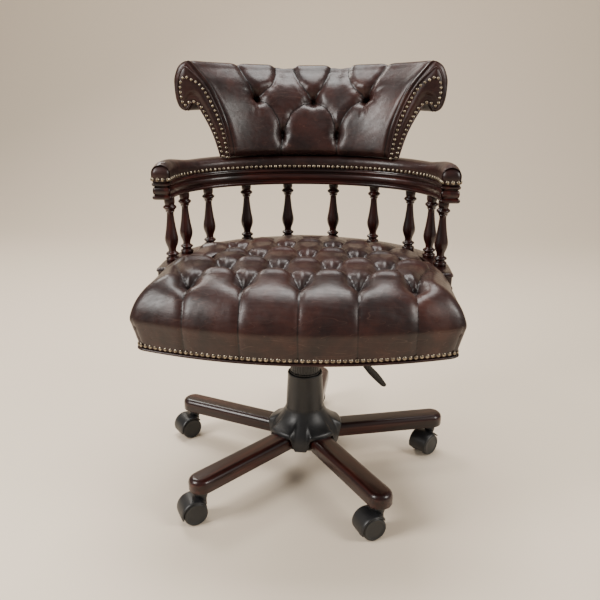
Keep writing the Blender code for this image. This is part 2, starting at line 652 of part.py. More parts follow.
board = seat_outline(BOARD_HALF_X, BOARD_CORNER_Y, BOARD_FRONT_Y,
                     BOARD_HALF_X, PLINTH_B + PLINTH_HALF_BACK - RIM_SETBACK)
seat_frame = solid("seat_frame", loft([
    [p + Vector((0, 0, z)) for p in board] for z in (BOARD_BOTTOM, BOARD_TOP)]),
    PLYWOOD, parent=TILT)
join(seat_frame, moulding(
    horseshoe(PLINTH_A, PLINTH_B, PLINTH_FRONT + RIM_SETBACK), RIM_HALF, RIM_HALF,
    [(0, BOARD_TOP - BOARD_THICK / 3), (0, PLINTH_BOTTOM - GAP)]))

solid("gallery_plinth", moulding(
    horseshoe(PLINTH_A, PLINTH_B, PLINTH_FRONT), PLINTH_HALF, PLINTH_HALF_BACK, [
        (0.002, PLINTH_BOTTOM), (0.0, PLINTH_BOTTOM + 0.003), (0.0, PLINTH_BOTTOM + 0.013),
        (0.003, PLINTH_BOTTOM + 0.017), (0.0, PLINTH_TOP - 0.006), (0.003, PLINTH_TOP),
    ]), MAHOGANY, parent=TILT)


def cushion_rings():
    """Plan outlines of the cushion from its foot to near its crown: it fills the
    horseshoe and swells outside it in front of the plinth's two ends."""
    inner_a = PLINTH_A - PLINTH_HALF - CUSHION_SIDE_GAP
    inner_b = PLINTH_B - PLINTH_HALF_BACK - CUSHION_SIDE_GAP
    step_y = PLINTH_FRONT - CUSHION_SIDE_GAP
    front_points = 12
    outline = seat_outline(CUSHION_WIDE - 0.010, CUSHION_CORNER_Y, CUSHION_FRONT, inner_a, inner_b,
                           front_points)
    front = outline[:front_points + 1]
    back = outline[front_points + 1:]
    right = [Vector((CUSHION_WIDE, CUSHION_WIDEST_Y, 0)),
             Vector((CUSHION_WIDE - 0.006, step_y - 0.008, 0)),
             Vector((inner_a + CUSHION_LAP, step_y, 0)), Vector((inner_a, step_y, 0))]
    left = [Vector((-p.x, p.y, 0)) for p in reversed(right)]
    outline = front + right + back + left
    centre = Vector((0, (CUSHION_FRONT + GALLERY_Y + inner_b) / 2, 0))
    levels = [(scale, BOARD_TOP + rise) for scale, rise in CUSHION_SIDE]
    levels += [(scale, CUSHION_TOP - drop) for scale, drop in CUSHION_CROWN]
    return [[centre + (p - centre) * scale + Vector((0, 0, height)) for p in outline]
            for scale, height in levels]


solid("seat_cushion", loft(cushion_rings()), LEATHER, parent=TILT, sharp_deg=60)

# ---------------------------------------------------------------- spindle gallery
SPINDLE_LENGTH = SPINDLE_RISE - 2 * GAP
# radius at each share of the way up: foot ring, reel, bead, vase, neck, collar, top
SPINDLE_TURNING = (
    (0.0, 0.0130), (0.045, 0.0138), (0.070, 0.0095), (0.105, 0.0132), (0.145, 0.0082),
    (0.210, 0.0086), (0.340, 0.0140), (0.500, 0.0106), (0.740, 0.0072), (0.800, 0.0088),
    (0.855, 0.0140), (0.900, 0.0096), (1.0, 0.0096),
)


def spindle(name, angle):
    profile = [(radius, share * SPINDLE_LENGTH) for share, radius in SPINDLE_TURNING]
    at = (PLINTH_A * math.cos(angle), GALLERY_Y + PLINTH_B * math.sin(angle), PLINTH_TOP + GAP)
    solid(name, lathe(profile, 10), MAHOGANY, at, TILT)


for number, degrees in enumerate(SPINDLE_DEGS, 1):
    spindle(f"spindle_right_{number}", math.radians(degrees))
    spindle(f"spindle_left_{number}", math.radians(180 - degrees))

solid("arm_rail", moulding(
    horseshoe(RAIL_A, RAIL_B, RAIL_FRONT), RAIL_HALF, RAIL_HALF_BACK, [
        (0.004, RAIL_BOTTOM), (0.001, RAIL_BOTTOM + 0.004), (0.003, RAIL_BOTTOM + 0.012),
        (0.003, RAIL_BOTTOM + 0.023), (0.0, RAIL_BOTTOM + 0.026), (0.002, RAIL_TOP),
    ]), MAHOGANY, parent=TILT)
solid("arm_pad", moulding(
    horseshoe(RAIL_A, RAIL_B, RAIL_FRONT - 0.002), RAIL_HALF, RAIL_HALF_BACK, [
        (0.001, PAD_BOTTOM), (-PAD_SWELL, PAD_BOTTOM + 0.012), (-0.001, PAD_TOP - 0.008),
        (0.007, PAD_TOP),
    ]), LEATHER, parent=TILT, sharp_deg=60)

# ---------------------------------------------------------------- rolled back
# The back's section, as (distance outwards from the foot of its front face, height
# above the foot): up the front face to the crest, over the roll to its tip and into
# the notch behind it, and down the rear face.
FRONT_FACE = (
    (0.0000, 0.000), (0.0065, 0.041), (0.0146, 0.074), (0.0258, 0.1035), (0.0385, 0.131),
    (0.0520, 0.154), (0.0675, 0.172), (0.0860, 0.192),
)
ROLL = (
    (0.0940, 0.1925), (0.1076, 0.183), (0.1164, 0.163), (0.1175, 0.145), (0.1150, 0.122),
    (0.1085, 0.105), (0.0985, 0.098), (0.0910, 0.099), (0.0774, 0.1195),
)
REAR_FACE = ((0.0686, 0.109), (0.0485, 0.0754), (0.0371, 0.0515), (0.0287, 0.027), (0.0210, 0.000))


def back_station(share):
    """Foot point of the front face and the outward way, from the right end (0) to the
    left end (1): outwards is sideways at the ends and straight back in the middle."""
    angle = math.radians(BACK_END_DEG + (180 - 2 * BACK_END_DEG) * share)
    foot = Vector((BACK_A * math.cos(angle), GALLERY_Y + BACK_B * math.sin(angle), 0))
    return foot, polar(1.0, math.pi * share)


def back_sweep(section, first, last, steps=16):
    rings = []
    for i in range(steps + 1):
        foot, out = back_station(first + (last - first) * i / steps)
        foot.z = BACK_FOOT
        rings.append([foot + out * o + Vector((0, 0, z)) for o, z in section])
    bm = loft(rings)
    # facing quads of the pad and the frame are twisted: both must fold the same way
    bmesh.ops.triangulate(bm, faces=bm.faces, quad_method="SHORT_EDGE")
    return bm


def inward(curve, depth):
    """The same curve moved square to itself into the section, for the pad's back."""
    moved = []
    for i in range(len(curve)):
        here = Vector(curve[i])
        way = Vector(curve[min(i + 1, len(curve) - 1)]) - Vector(curve[max(i - 1, 0)])
        moved.append(here + Vector((way.y, -way.x)).normalized() * depth)
    return [(p.x, p.y) for p in moved]


pad_inner = inward(FRONT_FACE, BACK_PAD)
pad_inner[0] = (BACK_PAD * 0.6, 0.0)
crest = FRONT_FACE[-1]
pad_inner[-1] = (crest[0] + BACK_PAD / 4, crest[1] - BACK_PAD)
core_front = [(o + PAD_SEAM, z - PAD_SEAM / 2) for o, z in pad_inner]
core_front[0] = (pad_inner[0][0] + PAD_SEAM, 0.0)
core_front.append((crest[0] + PAD_SEAM * 2, crest[1]))

facing_share = FACING_THICK / (BACK_A * 2)
end_share = facing_share + FACING_GAP / (BACK_A * 2)
solid("back_cushion", back_sweep(list(FRONT_FACE) + pad_inner[::-1], end_share, 1 - end_share),
      LEATHER, parent=TILT, sharp_deg=60)
solid("back_frame", back_sweep(core_front + list(ROLL) + list(REAR_FACE), end_share, 1 - end_share),
      PLYWOOD, parent=TILT, sharp_deg=60)
outline = list(FRONT_FACE) + list(ROLL) + list(REAR_FACE)
solid("scroll_facing_right", back_sweep(outline, 0.0, facing_share, 2), LEATHER, parent=TILT)
solid("scroll_facing_left", back_sweep(outline, 1 - facing_share, 1.0, 2), LEATHER, parent=TILT)
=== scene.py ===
# %% [markdown]
# # A captain's swivel chair, dressed for its picture
# The chair's frame comes in first: every turned, bent and cast piece, already on the
# body it moves with. This lesson puts on what the frame leaves plain: the buttoned
# leather, the nails, the fine mouldings, the polish and the light. Each part opens
# with a note on what it is on a real chair and why it is made the way it is.

# %% Load the frame
import math

import bmesh
import bpy
import numpy as np
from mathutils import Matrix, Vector
from mathutils.bvhtree import BVHTree


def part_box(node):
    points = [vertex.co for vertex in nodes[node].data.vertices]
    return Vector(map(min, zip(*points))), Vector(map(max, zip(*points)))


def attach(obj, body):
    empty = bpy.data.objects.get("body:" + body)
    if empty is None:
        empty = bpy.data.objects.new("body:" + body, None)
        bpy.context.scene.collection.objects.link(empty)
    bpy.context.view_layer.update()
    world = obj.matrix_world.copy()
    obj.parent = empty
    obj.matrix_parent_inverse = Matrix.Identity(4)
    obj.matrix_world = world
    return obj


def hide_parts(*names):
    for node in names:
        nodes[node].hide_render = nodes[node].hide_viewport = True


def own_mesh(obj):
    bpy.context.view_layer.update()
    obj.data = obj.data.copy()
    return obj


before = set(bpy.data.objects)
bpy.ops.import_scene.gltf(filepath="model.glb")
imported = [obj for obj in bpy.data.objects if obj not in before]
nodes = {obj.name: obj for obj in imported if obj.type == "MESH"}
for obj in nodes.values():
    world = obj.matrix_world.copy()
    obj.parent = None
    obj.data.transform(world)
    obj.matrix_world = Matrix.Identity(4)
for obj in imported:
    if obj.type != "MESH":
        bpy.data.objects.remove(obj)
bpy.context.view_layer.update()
scene = bpy.context.scene
tube_low, tube_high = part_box("pedestal_tube")
COLUMN_Y = (tube_low.y + tube_high.y) / 2

# %% [markdown]
# ## The picture
# The camera stands a little to the right of the chair's middle line, at the height of
# the top of the back, and looks down 18.6 degrees, so the seat shows its whole top and
# the legs spread out below it. A 42 mm lens keeps the near casters from looking big.

# %% Camera
camera = bpy.data.objects.new("camera", bpy.data.cameras.new("camera"))
scene.collection.objects.link(camera)
LENS_MM = 42.0
SENSOR_MM = 36.0
DOWN = math.radians(18.6)
camera.data.lens = LENS_MM
camera.data.sensor_width = SENSOR_MM
camera.location = (0.086, -1.434 + COLUMN_Y, 0.879)
look = Vector((-0.0677, 0.9977, 0)).normalized() * math.cos(DOWN)
look.z = -math.sin(DOWN)
camera.rotation_euler = look.to_track_quat("-Z", "Y").to_euler()
scene.camera = camera
print("camera at", [round(v, 3) for v in camera.location], "looking", [round(v, 3) for v in look])

# %% [markdown]
# ## Floor and light
# A plain pale floor that curves up behind the chair takes soft shadows and fills the
# polish with an even reflection. Big area lamps stand in for windows: one high on the
# left for the shape, one on the right to open the shadows, and one behind that draws
# the edge of the back.

# %% Floor
def sheet_of(name, rows):
    """A shown grid from rows of points."""
    count = len(rows[0])
    faces = [(r * count + i, r * count + i + 1, (r + 1) * count + i + 1, (r + 1) * count + i)
             for r in range(len(rows) - 1) for i in range(count - 1)]
    mesh = bpy.data.meshes.new(name)
    mesh.from_pydata([p for row in rows for p in row], [], faces)
    mesh.shade_smooth()
    made = bpy.data.objects.new(name, mesh)
    scene.collection.objects.link(made)
    return made


sweep_radius = 1.6
floor_profile = [(-4.0, 0.0), (2.2, 0.0)]
for step in range(1, 13):
    bend = math.radians(90 * step / 12)
    floor_profile.append((2.2 + sweep_radius * math.sin(bend), sweep_radius * (1 - math.cos(bend))))
floor_profile.append((2.2 + sweep_radius, 4.5))
floor = sheet_of("studio_floor", [[(x, y, z) for x in (-6.0, 6.0)] for y, z in floor_profile])
floor_finish = bpy.data.materials.new("pale studio paper")
floor_finish.use_nodes = True
paper = floor_finish.node_tree.nodes["Principled BSDF"]
paper.inputs["Base Color"].default_value = (0.80, 0.68, 0.54, 1)
paper.inputs["Roughness"].default_value = 0.55
floor.data.materials.append(floor_finish)
print("floor: a sheet", 12, "m wide, curved up behind")

# %% Lamps
def lamp(name, at, towards, size, power, colour=(1, 1, 1)):
    """A rectangular area lamp aimed at a point."""
    made = bpy.data.objects.new(name, bpy.data.lights.new(name, "AREA"))
    made.data.shape = "RECTANGLE"
    made.data.size, made.data.size_y = size
    made.data.energy = power
    made.data.color = colour
    made.location = at
    made.rotation_euler = (Vector(towards) - Vector(at)).to_track_quat("-Z", "Y").to_euler()
    scene.collection.objects.link(made)
    return made


lamp("window_left", (-2.3, -1.3, 2.3), (0, 0, 0.45), (1.1, 1.5), 105, (1.0, 0.97, 0.93))
lamp("window_right", (2.4, -1.0, 1.9), (0, 0, 0.45), (0.9, 1.3), 52, (1.0, 0.96, 0.90))
lamp("skylight", (0.0, 0.6, 3.0), (0, 0, 0.5), (1.6, 1.3), 82, (1.0, 0.98, 0.95))
lamp("rim_light", (-1.5, 1.9, 2.5), (0, 0.1, 0.7), (1.2, 0.8), 38, (1.0, 0.95, 0.88))
world = bpy.data.worlds.new("soft room")
world.use_nodes = True
world.node_tree.nodes["Background"].inputs["Color"].default_value = (0.93, 0.90, 0.86, 1)
world.node_tree.nodes["Background"].inputs["Strength"].default_value = 0.32
scene.world = world

# %% [markdown]
# ## Finishes
# Every finish is a small tree of nodes that reads Object coordinates. All pieces sit at
# the origin, so those are metres in the chair's own space, and a scale of 900 in a
# noise node means a grain a little over a millimetre across.

# %% Node helpers
def finish_named(name):
    """A new material: returns it, its tree and its shader."""
    made = bpy.data.materials.new(name)
    made.use_nodes = True
    return made, made.node_tree, made.node_tree.nodes["Principled BSDF"]


def node(tree, kind, inputs=None, **settings):
    """A node with its settings and inputs; an input may be a value or a socket."""
    made = tree.nodes.new(kind)
    for key, value in settings.items():
        setattr(made, key, value)
    for key, value in (inputs or {}).items():
        if isinstance(value, bpy.types.NodeSocket):
            tree.links.new(value, made.inputs[key])
        else:
            made.inputs[key].default_value = value
    return made


def ramp(tree, factor, *stops):
    """A colour ramp from (place, (r, g, b)) stops."""
    made = node(tree, "ShaderNodeValToRGB", {"Fac": factor})
    while len(made.color_ramp.elements) < len(stops):
        made.color_ramp.elements.new(0.5)
    for element, (place, colour) in zip(made.color_ramp.elements, stops):
        element.position = place
        element.color = (*colour, 1)
    return made.outputs["Color"]


def mix(tree, factor, a, b, how="MIX"):
    """Blend two colours or sockets."""
    return node(tree, "ShaderNodeMix", {0: factor, 6: a, 7: b},
                data_type="RGBA", blend_type=how).outputs[2]


def span(tree, value, low, high, to_low, to_high):
    """Map a value from one range onto another."""
    return node(tree, "ShaderNodeMapRange", {
        "Value": value, "From Min": low, "From Max": high,
        "To Min": to_low, "To Max": to_high}).outputs["Result"]


def noise(tree, vector, scale, detail=3.0, rough=0.55, distort=0.0):
    return node(tree, "ShaderNodeTexNoise", {
        "Vector": vector, "Scale": scale, "Detail": detail,
        "Roughness": rough, "Distortion": distort}).outputs["Fac"]


def stretched(tree, vector, scale, turn=(0, 0, 0)):
    """The same space, squeezed along some axes so a noise turns into streaks."""
    return node(tree, "ShaderNodeMapping", {
        "Vector": vector, "Scale": scale, "Rotation": turn}).outputs["Vector"]


print("node helpers ready")

# %% [markdown]
# ### Oxblood leather
# Antiqued hide is dyed dark and rubbed back, so its tone wanders in clouds and patches,
# with a few pale scratch lines. Shade is painted into the colour over that: the hide is
# darkened where it is pulled down into the tufts and goes almost black along each pleat.
# Two numbers kept on each point of a buttoned piece drive this painted shade: *deep*, how
# far the point is pulled down, and *crease*, how near it lies to a pleat, 1 on it and 0 at
# 6 mm. The grain itself is a fine bump, with slow wrinkles and a few scratches over it.

# %% Leather
leather, tree, skin_shader = finish_named("antiqued oxblood leather")
space = node(tree, "ShaderNodeTexCoord").outputs["Object"]
deep = node(tree, "ShaderNodeAttribute", attribute_name="deep").outputs["Fac"]
crease = node(tree, "ShaderNodeAttribute", attribute_name="crease").outputs["Fac"]
patches = noise(tree, space, 9.0, 4.0, 0.6, 0.6)
clouds = noise(tree, space, 34.0, 5.0, 0.65, 0.4)
dye = ramp(tree, clouds, (0.28, (0.008, 0.0036, 0.0036)), (0.50, (0.021, 0.0078, 0.0068)),
           (0.72, (0.046, 0.016, 0.012)))
rubbed = ramp(tree, patches, (0.40, (0.012, 0.0052, 0.0048)), (0.58, (0.036, 0.0115, 0.0090)),
              (0.78, (0.078, 0.026, 0.017)))
hide = mix(tree, 0.55, dye, rubbed)
# painted shade: the hide darkens towards near black the deeper it is pulled into the tufts
shaded = mix(tree, span(tree, deep, 0.15, 1.0, 0.0, 0.85), hide, (0.010, 0.0045, 0.004, 1))
# painted shade: almost black along each pleat line
pleat_painted_shade = span(tree, crease, 0.60, 0.96, 0.0, 0.92)
hairs = noise(tree, stretched(tree, space, (9.0, 34.0, 70.0), (0.4, 0.7, 0.9)), 1.0, 1.0, 0.4, 0.5)
hairline = ramp(tree, hairs, (0.494, (0, 0, 0)), (0.50, (1, 1, 1)), (0.506, (0, 0, 0)))
# pale scratch lines are real wear, laid over the hide with its painted shade
scratches_over_painted_shade = mix(tree, span(tree, hairline, 0.0, 1.0, 0.0, 0.22), shaded, (0.150, 0.085, 0.066, 1))
tree.links.new(mix(tree, pleat_painted_shade, scratches_over_painted_shade, (0.003, 0.0018, 0.0016, 1)), skin_shader.inputs["Base Color"])
grain = node(tree, "ShaderNodeTexVoronoi", {"Vector": space, "Scale": 620.0}).outputs["Distance"]
wrinkle = noise(tree, space, 95.0, 4.0, 0.6, 0.8)
scratch = noise(tree, stretched(tree, space, (16.0, 260.0, 60.0), (0.5, 0.3, 0.9)), 1.0, 2.0)
swell = noise(tree, space, 28.0, 2.0)
bump = node(tree, "ShaderNodeBump", {"Height": grain, "Strength": 0.14, "Distance": 0.0004})
bump = node(tree, "ShaderNodeBump", {"Height": wrinkle, "Strength": 0.15, "Distance": 0.0008,
                                     "Normal": bump.outputs["Normal"]})
bump = node(tree, "ShaderNodeBump", {"Height": swell, "Strength": 0.30, "Distance": 0.0040,
                                     "Normal": bump.outputs["Normal"]})
tree.links.new(bump.outputs["Normal"], skin_shader.inputs["Normal"])
tree.links.new(span(tree, mix(tree, 0.5, wrinkle, scratch), 0.35, 0.65, 0.29, 0.45),
               skin_shader.inputs["Roughness"])
skin_shader.inputs["Specular IOR Level"].default_value = 0.32
skin_shader.inputs["Coat Weight"].default_value = 0.10
skin_shader.inputs["Coat Roughness"].default_value = 0.22
print("finish:", leather.name, len(tree.nodes), "nodes")

# %% [markdown]
# ### Polished mahogany
# The show wood is stained almost black and lacquered until it reflects like glass. Its
# grain must run along each piece, round the horseshoe and up each spindle, so each
# wooden piece carries a *grain* vector on its points: metres along the grain, then
# across it. The lacquer is the shader's coat over a duller, redder body.

# %% Mahogany
mahogany, tree, wood_shader = finish_named("polished mahogany")
along = node(tree, "ShaderNodeAttribute", attribute_name="grain").outputs["Vector"]
fibres = noise(tree, stretched(tree, along, (5.0, 190.0, 190.0)), 1.0, 4.0, 0.6, 0.3)
bands = noise(tree, stretched(tree, along, (2.2, 34.0, 34.0)), 1.0, 3.0, 0.5, 0.8)
pores = noise(tree, stretched(tree, along, (26.0, 900.0, 900.0)), 1.0, 2.0)
stain = ramp(tree, bands, (0.30, (0.008, 0.0022, 0.0019)), (0.52, (0.026, 0.0052, 0.0040)),
             (0.74, (0.068, 0.0130, 0.0082)))
streak = ramp(tree, fibres, (0.35, (0.30, 0.26, 0.25)), (0.65, (1.0, 1.0, 1.0)))
tree.links.new(mix(tree, 0.75, stain, mix(tree, 1.0, stain, streak, "MULTIPLY")),
               wood_shader.inputs["Base Color"])
bump = node(tree, "ShaderNodeBump", {"Height": pores, "Strength": 0.10, "Distance": 0.0003})
tree.links.new(bump.outputs["Normal"], wood_shader.inputs["Normal"])
wood_shader.inputs["Roughness"].default_value = 0.34
wood_shader.inputs["Coat Weight"].default_value = 0.45
wood_shader.inputs["Coat IOR"].default_value = 1.38
wood_shader.inputs["Specular IOR Level"].default_value = 0.30
wood_shader.inputs["Coat Roughness"].default_value = 0.07
print("finish:", mahogany.name, len(tree.nodes), "nodes")

# %% [markdown]
# ### Plastic, steel, brass, board and cloth
# The casters, hub and covers are satin black plastic with a faint spark-eroded texture.
# Steel under the seat is black paint or bare bright rod. The nails are antique brass:
# dull and brown in the hollows, brighter on the crown. The seat board is raw plywood,
# and black lining cloth closes its underside.

# %% Plastic and metals
def moulded_plastic(name, colour, paler, rough):
    """Satin moulded plastic: a little dusty variation and a fine texture."""
    made, tree, shader = finish_named(name)
    space = node(tree, "ShaderNodeTexCoord").outputs["Object"]
    dust = noise(tree, space, 26.0, 4.0, 0.6)
    tree.links.new(ramp(tree, dust, (0.35, colour), (0.75, paler)), shader.inputs["Base Color"])
    texture = noise(tree, space, 1500.0, 2.0)
    bump = node(tree, "ShaderNodeBump", {"Height": texture, "Strength": 0.18, "Distance": 0.0002})
    tree.links.new(bump.outputs["Normal"], shader.inputs["Normal"])
    tree.links.new(span(tree, dust, 0.3, 0.7, rough - 0.05, rough + 0.08), shader.inputs["Roughness"])
    return made


def bare_metal(name, dark, bright, rough, scale, stretch=(1, 1, 1)):
    """Metal whose colour and polish wander together."""
    made, tree, shader = finish_named(name)
    space = node(tree, "ShaderNodeTexCoord").outputs["Object"]
    wander = noise(tree, stretched(tree, space, stretch), scale, 4.0, 0.6)
    tree.links.new(ramp(tree, wander, (0.32, dark), (0.68, bright)), shader.inputs["Base Color"])
    tree.links.new(span(tree, wander, 0.3, 0.7, rough + 0.14, rough), shader.inputs["Roughness"])
    bump = node(tree, "ShaderNodeBump", {"Height": wander, "Strength": 0.12, "Distance": 0.0003})
    tree.links.new(bump.outputs["Normal"], shader.inputs["Normal"])
    shader.inputs["Metallic"].default_value = 1.0
    return made


black_plastic = moulded_plastic("satin black plastic", (0.008, 0.008, 0.009), (0.018, 0.018, 0.019), 0.40)
wheel_plastic = moulded_plastic("black wheel plastic", (0.010, 0.011, 0.012), (0.024, 0.025, 0.026), 0.44)
black_steel = bare_metal("black painted steel", (0.012, 0.012, 0.013), (0.030, 0.030, 0.032), 0.36, 60)
bright_steel = bare_metal("bright steel rod", (0.36, 0.36, 0.37), (0.62, 0.62, 0.63), 0.18, 220, (1, 1, 0.1))
nail_brass = bare_metal("antique nail brass", (0.070, 0.052, 0.036), (0.46, 0.39, 0.29), 0.28, 260)
print("finishes: plastics", 2, "metals", 3)

# %% Board and lining
plywood, tree, ply_shader = finish_named("raw plywood")
space = node(tree, "ShaderNodeTexCoord").outputs["Object"]
veneer = noise(tree, stretched(tree, space, (8.0, 120.0, 400.0)), 1.0, 4.0, 0.6, 0.5)
tree.links.new(ramp(tree, veneer, (0.3, (0.30, 0.19, 0.10)), (0.7, (0.52, 0.36, 0.21))),
               ply_shader.inputs["Base Color"])
ply_shader.inputs["Roughness"].default_value = 0.62
lining, tree, cloth_shader = finish_named("black lining cloth")
space = node(tree, "ShaderNodeTexCoord").outputs["Object"]
weave = noise(tree, space, 1400.0, 1.0)
tree.links.new(ramp(tree, weave, (0.3, (0.006, 0.006, 0.007)), (0.7, (0.022, 0.022, 0.024))),
               cloth_shader.inputs["Base Color"])
cloth_shader.inputs["Roughness"].default_value = 0.9
print("finishes:", plywood.name, "and", lining.name)

# %% Dress the frame's own nodes
kept = {
    "pedestal_tube": black_steel, "guide_bush": black_plastic, "thrust_bearing": bright_steel,
    "piston_rod": bright_steel, "gas_cylinder": black_steel, "valve_button": bright_steel,
    "tilt_housing": black_steel, "tilt_pin": bright_steel,
    "seat_plate": black_steel, "tension_knob": black_plastic, "seat_frame": plywood,
    "cover_middle": black_plastic,
}
for number in range(1, 6):
    kept[f"caster_stem_{number}"] = bright_steel
for name, finish in kept.items():
    nodes[name].data.materials.clear()
    nodes[name].data.materials.append(finish)
print("frame nodes given a finish:", len(kept))

# %% [markdown]
# ## Shaping helpers
# Three small makers cover nearly every piece: *skin* joins rings of points into one
# closed shape, *flow* draws a smooth curve through a few measured points, and *solid*
# turns points and faces into an object that rides on its body. The chair is drawn about
# its column, so *at_chair* moves points from there into the frame's space.

# %% Rings and curves
def flow(points, steps):
    """A smooth curve through points, with that many steps between each pair."""
    pts = np.array(points, float)
    padded = np.vstack([2 * pts[0] - pts[1], pts, 2 * pts[-1] - pts[-2]])
    made = []
    for a, b, c, d in zip(padded, padded[1:], padded[2:], padded[3:]):
        for i in range(steps):
            t = i / steps
            made.append(0.5 * (2 * b + (c - a) * t + (2 * a - 5 * b + 4 * c - d) * t * t
                               + (3 * b - a - 3 * c + d) * t ** 3))
    made.append(pts[-1])
    return np.array(made)


def even(points, spacing):
    """The same curve with points at an even spacing."""
    pts = np.array(points, float)
    run = np.concatenate([[0], np.cumsum(np.linalg.norm(np.diff(pts, axis=0), axis=1))])
    count = max(2, int(round(run[-1] / spacing)) + 1)
    places = np.linspace(0, run[-1], count)
    return np.stack([np.interp(places, run, pts[:, k]) for k in range(pts.shape[1])], axis=1)


def skin(rings, closed=True, caps=True):
    """Vertices and faces of rings joined one to the next."""
    count = len(rings[0])
    verts = [tuple(p) for ring in rings for p in ring]
    faces = []
    for r in range(len(rings) - 1):
        for i in range(count if closed else count - 1):
            j = (i + 1) % count
            faces.append((r * count + i, r * count + j, (r + 1) * count + j, (r + 1) * count + i))
    if caps:
        faces.append(tuple(range(count))[::-1])
        faces.append(tuple((len(rings) - 1) * count + i for i in range(count)))
    return verts, faces


def at_chair(points):
    """Points drawn about the column, moved into the frame's space."""
    return np.array(points, float) + np.array((0, COLUMN_Y, 0))


print("curve helpers ready")

# %% Solids
def solid(name, verts, faces, finish, sharp_deg=None, turn_out=True):
    """A shown object at the origin, with its faces turned outwards."""
    mesh = bpy.data.meshes.new(name)
    mesh.from_pydata([tuple(v) for v in verts], [], faces)
    if turn_out:
        bm = bmesh.new()
        bm.from_mesh(mesh)
        bmesh.ops.remove_doubles(bm, verts=bm.verts, dist=1e-6)
        bmesh.ops.recalc_face_normals(bm, faces=bm.faces)
        bm.to_mesh(mesh)
        bm.free()
    mesh.shade_smooth()
    if sharp_deg:
        mesh.set_sharp_from_angle(angle=math.radians(sharp_deg))
    mesh.materials.append(finish)
    made = bpy.data.objects.new(name, mesh)
    scene.collection.objects.link(made)
    return made


def set_attribute(mesh, name, values, kind="FLOAT"):
    """One number or vector for each point of a mesh."""
    data = np.asarray(values, dtype=np.float32)
    slot = mesh.attributes.new(name, kind, "POINT")
    slot.data.foreach_set("value" if kind == "FLOAT" else "vector", data.ravel())


def points_of(mesh):
    """The points of a mesh as an array."""
    co = np.zeros(len(mesh.vertices) * 3)
    mesh.vertices.foreach_get("co", co)
    return co.reshape(-1, 3)


def turned(profile, sides, centre):
    """Rings of a turned shape about an upright axis, from (radius, height) points."""
    angles = [2 * math.pi * i / sides for i in range(sides)]
    return [[(centre[0] + r * math.cos(a), centre[1] + r * math.sin(a), centre[2] + z)
             for a in angles] for r, z in profile]


def finish_piece(made, body, slot, *replaced):
    """Ride on the body and hide the CAD nodes that this piece stands for; slot is not used."""
    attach(made, body)
    if replaced:
        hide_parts(*replaced)
    print(f"{made.name}: {len(made.data.polygons)} faces on {body}")


print("solid helpers ready")

# %% [markdown]
# ## The horseshoe mouldings
# The plinth, the arm rail and the arm pad all follow one horseshoe: two straight arms
# joined by half an ellipse, wider at the back than at the arms. A moulding could be
# swept along it, but a sweep leaves a flat cut at each arm's end. A real rail is moulded
# round its ends too. So the outline is drawn in plan at every height, set in by the
# moulding's profile, and the outlines are stacked: the reeds then run round the ends.

# %% Horseshoe outlines
GALLERY_Y = -0.030


def horseshoe(a, b, front, steps=72):
    """Stations from the right end to the left end: point, way out, backness, run."""
    stations = []
    straight = np.linspace(front, GALLERY_Y, 8)
    for y in straight[:-1]:
        stations.append(((a, y), (1.0, 0.0), 0.0))
    for i in range(steps + 1):
        angle = math.pi * i / steps
        out = np.array((math.cos(angle) / a, math.sin(angle) / b))
        out /= np.linalg.norm(out)
        stations.append(((a * math.cos(angle), GALLERY_Y + b * math.sin(angle)), tuple(out),
                         math.sin(angle) ** 2))
    for y in straight[:-1][::-1]:
        stations.append(((-a, y), (-1.0, 0.0), 0.0))
    return stations


def band_outline(stations, half, half_back, inset, height, corner=0.004):
    """A closed plan outline of a horseshoe band, set in all round by the inset."""
    outer, inner = [], []
    for (x, y), (ox, oy), backness in stations:
        wide = half + (half_back - half) * backness - inset
        outer.append((x + ox * wide, y + oy * wide))
        inner.append((x - ox * wide, y - oy * wide))
    points = [np.array(p) for p in outer]
    side = [np.array(p) for p in inner[::-1]]

    def end(first, last):
        """Rounded corner points across an arm's end, from one edge to the other."""
        across = last - first
        across /= np.linalg.norm(across)
        made = []
        for k in range(4):
            t = math.radians(90 * k / 3)
            made.append(first + across * corner * (1 - math.cos(t))
                        + np.array((0, -1)) * corner * math.sin(t))
        for k in range(4):
            t = math.radians(90 * (3 - k) / 3)
            made.append(last - across * corner * (1 - math.cos(t))
                        + np.array((0, -1)) * corner * math.sin(t))
        return made

    lift = np.array((0, inset + corner))
    points[0] = points[0] + lift
    points[-1] = points[-1] + lift
    side[0] = side[0] + lift
    side[-1] = side[-1] + lift
    ring = points + end(points[-1], side[0]) + side + end(side[-1], points[0])
    return [(p[0], p[1], height) for p in ring]


def moulding(name, path, halves, profile, finish, corner=0.004, lift=None):
    """Stack outlines by (inset, height), closing top and bottom with quads across."""
    stations = horseshoe(*path)
    rings = [band_outline(stations, *halves, inset, height, corner) for inset, height in profile]
    verts, faces = skin(rings, caps=False)
    count, n = len(rings[0]), len(stations)
    for base, flip in ((0, True), ((len(rings) - 1) * count, False)):
        left = [base + i for i in range(n)]
        right = [base + n + 8 + i for i in range(n)][::-1]
        for i in range(n - 1):
            quad = (left[i], left[i + 1], right[i + 1], right[i])
            faces.append(quad[::-1] if flip else quad)
        faces.append(tuple([left[-1]] + [base + n + k for k in range(8)] + [right[-1]]))
        faces.append(tuple([right[0]] + [base + 2 * n + 8 + k for k in range(8)] + [left[0]]))
    verts = at_chair(verts)
    if lift is not None:
        verts = lift(verts)
    made = solid(name, verts, faces, finish, 40)
    pts = points_of(made.data) - np.array((0, COLUMN_Y, 0))
    around = np.arctan2(pts[:, 1] - GALLERY_Y, pts[:, 0])
    run = np.where(pts[:, 1] < GALLERY_Y, np.sign(pts[:, 0]) * pts[:, 1], 0.28 * around)
    out = np.linalg.norm(pts[:, :2] - np.array((0, GALLERY_Y)), axis=1)
    set_attribute(made.data, "grain", np.stack([run, out, pts[:, 2]], axis=1), "FLOAT_VECTOR")
    return made


print("horseshoe:", len(horseshoe(0.28, 0.23, -0.05)), "stations")

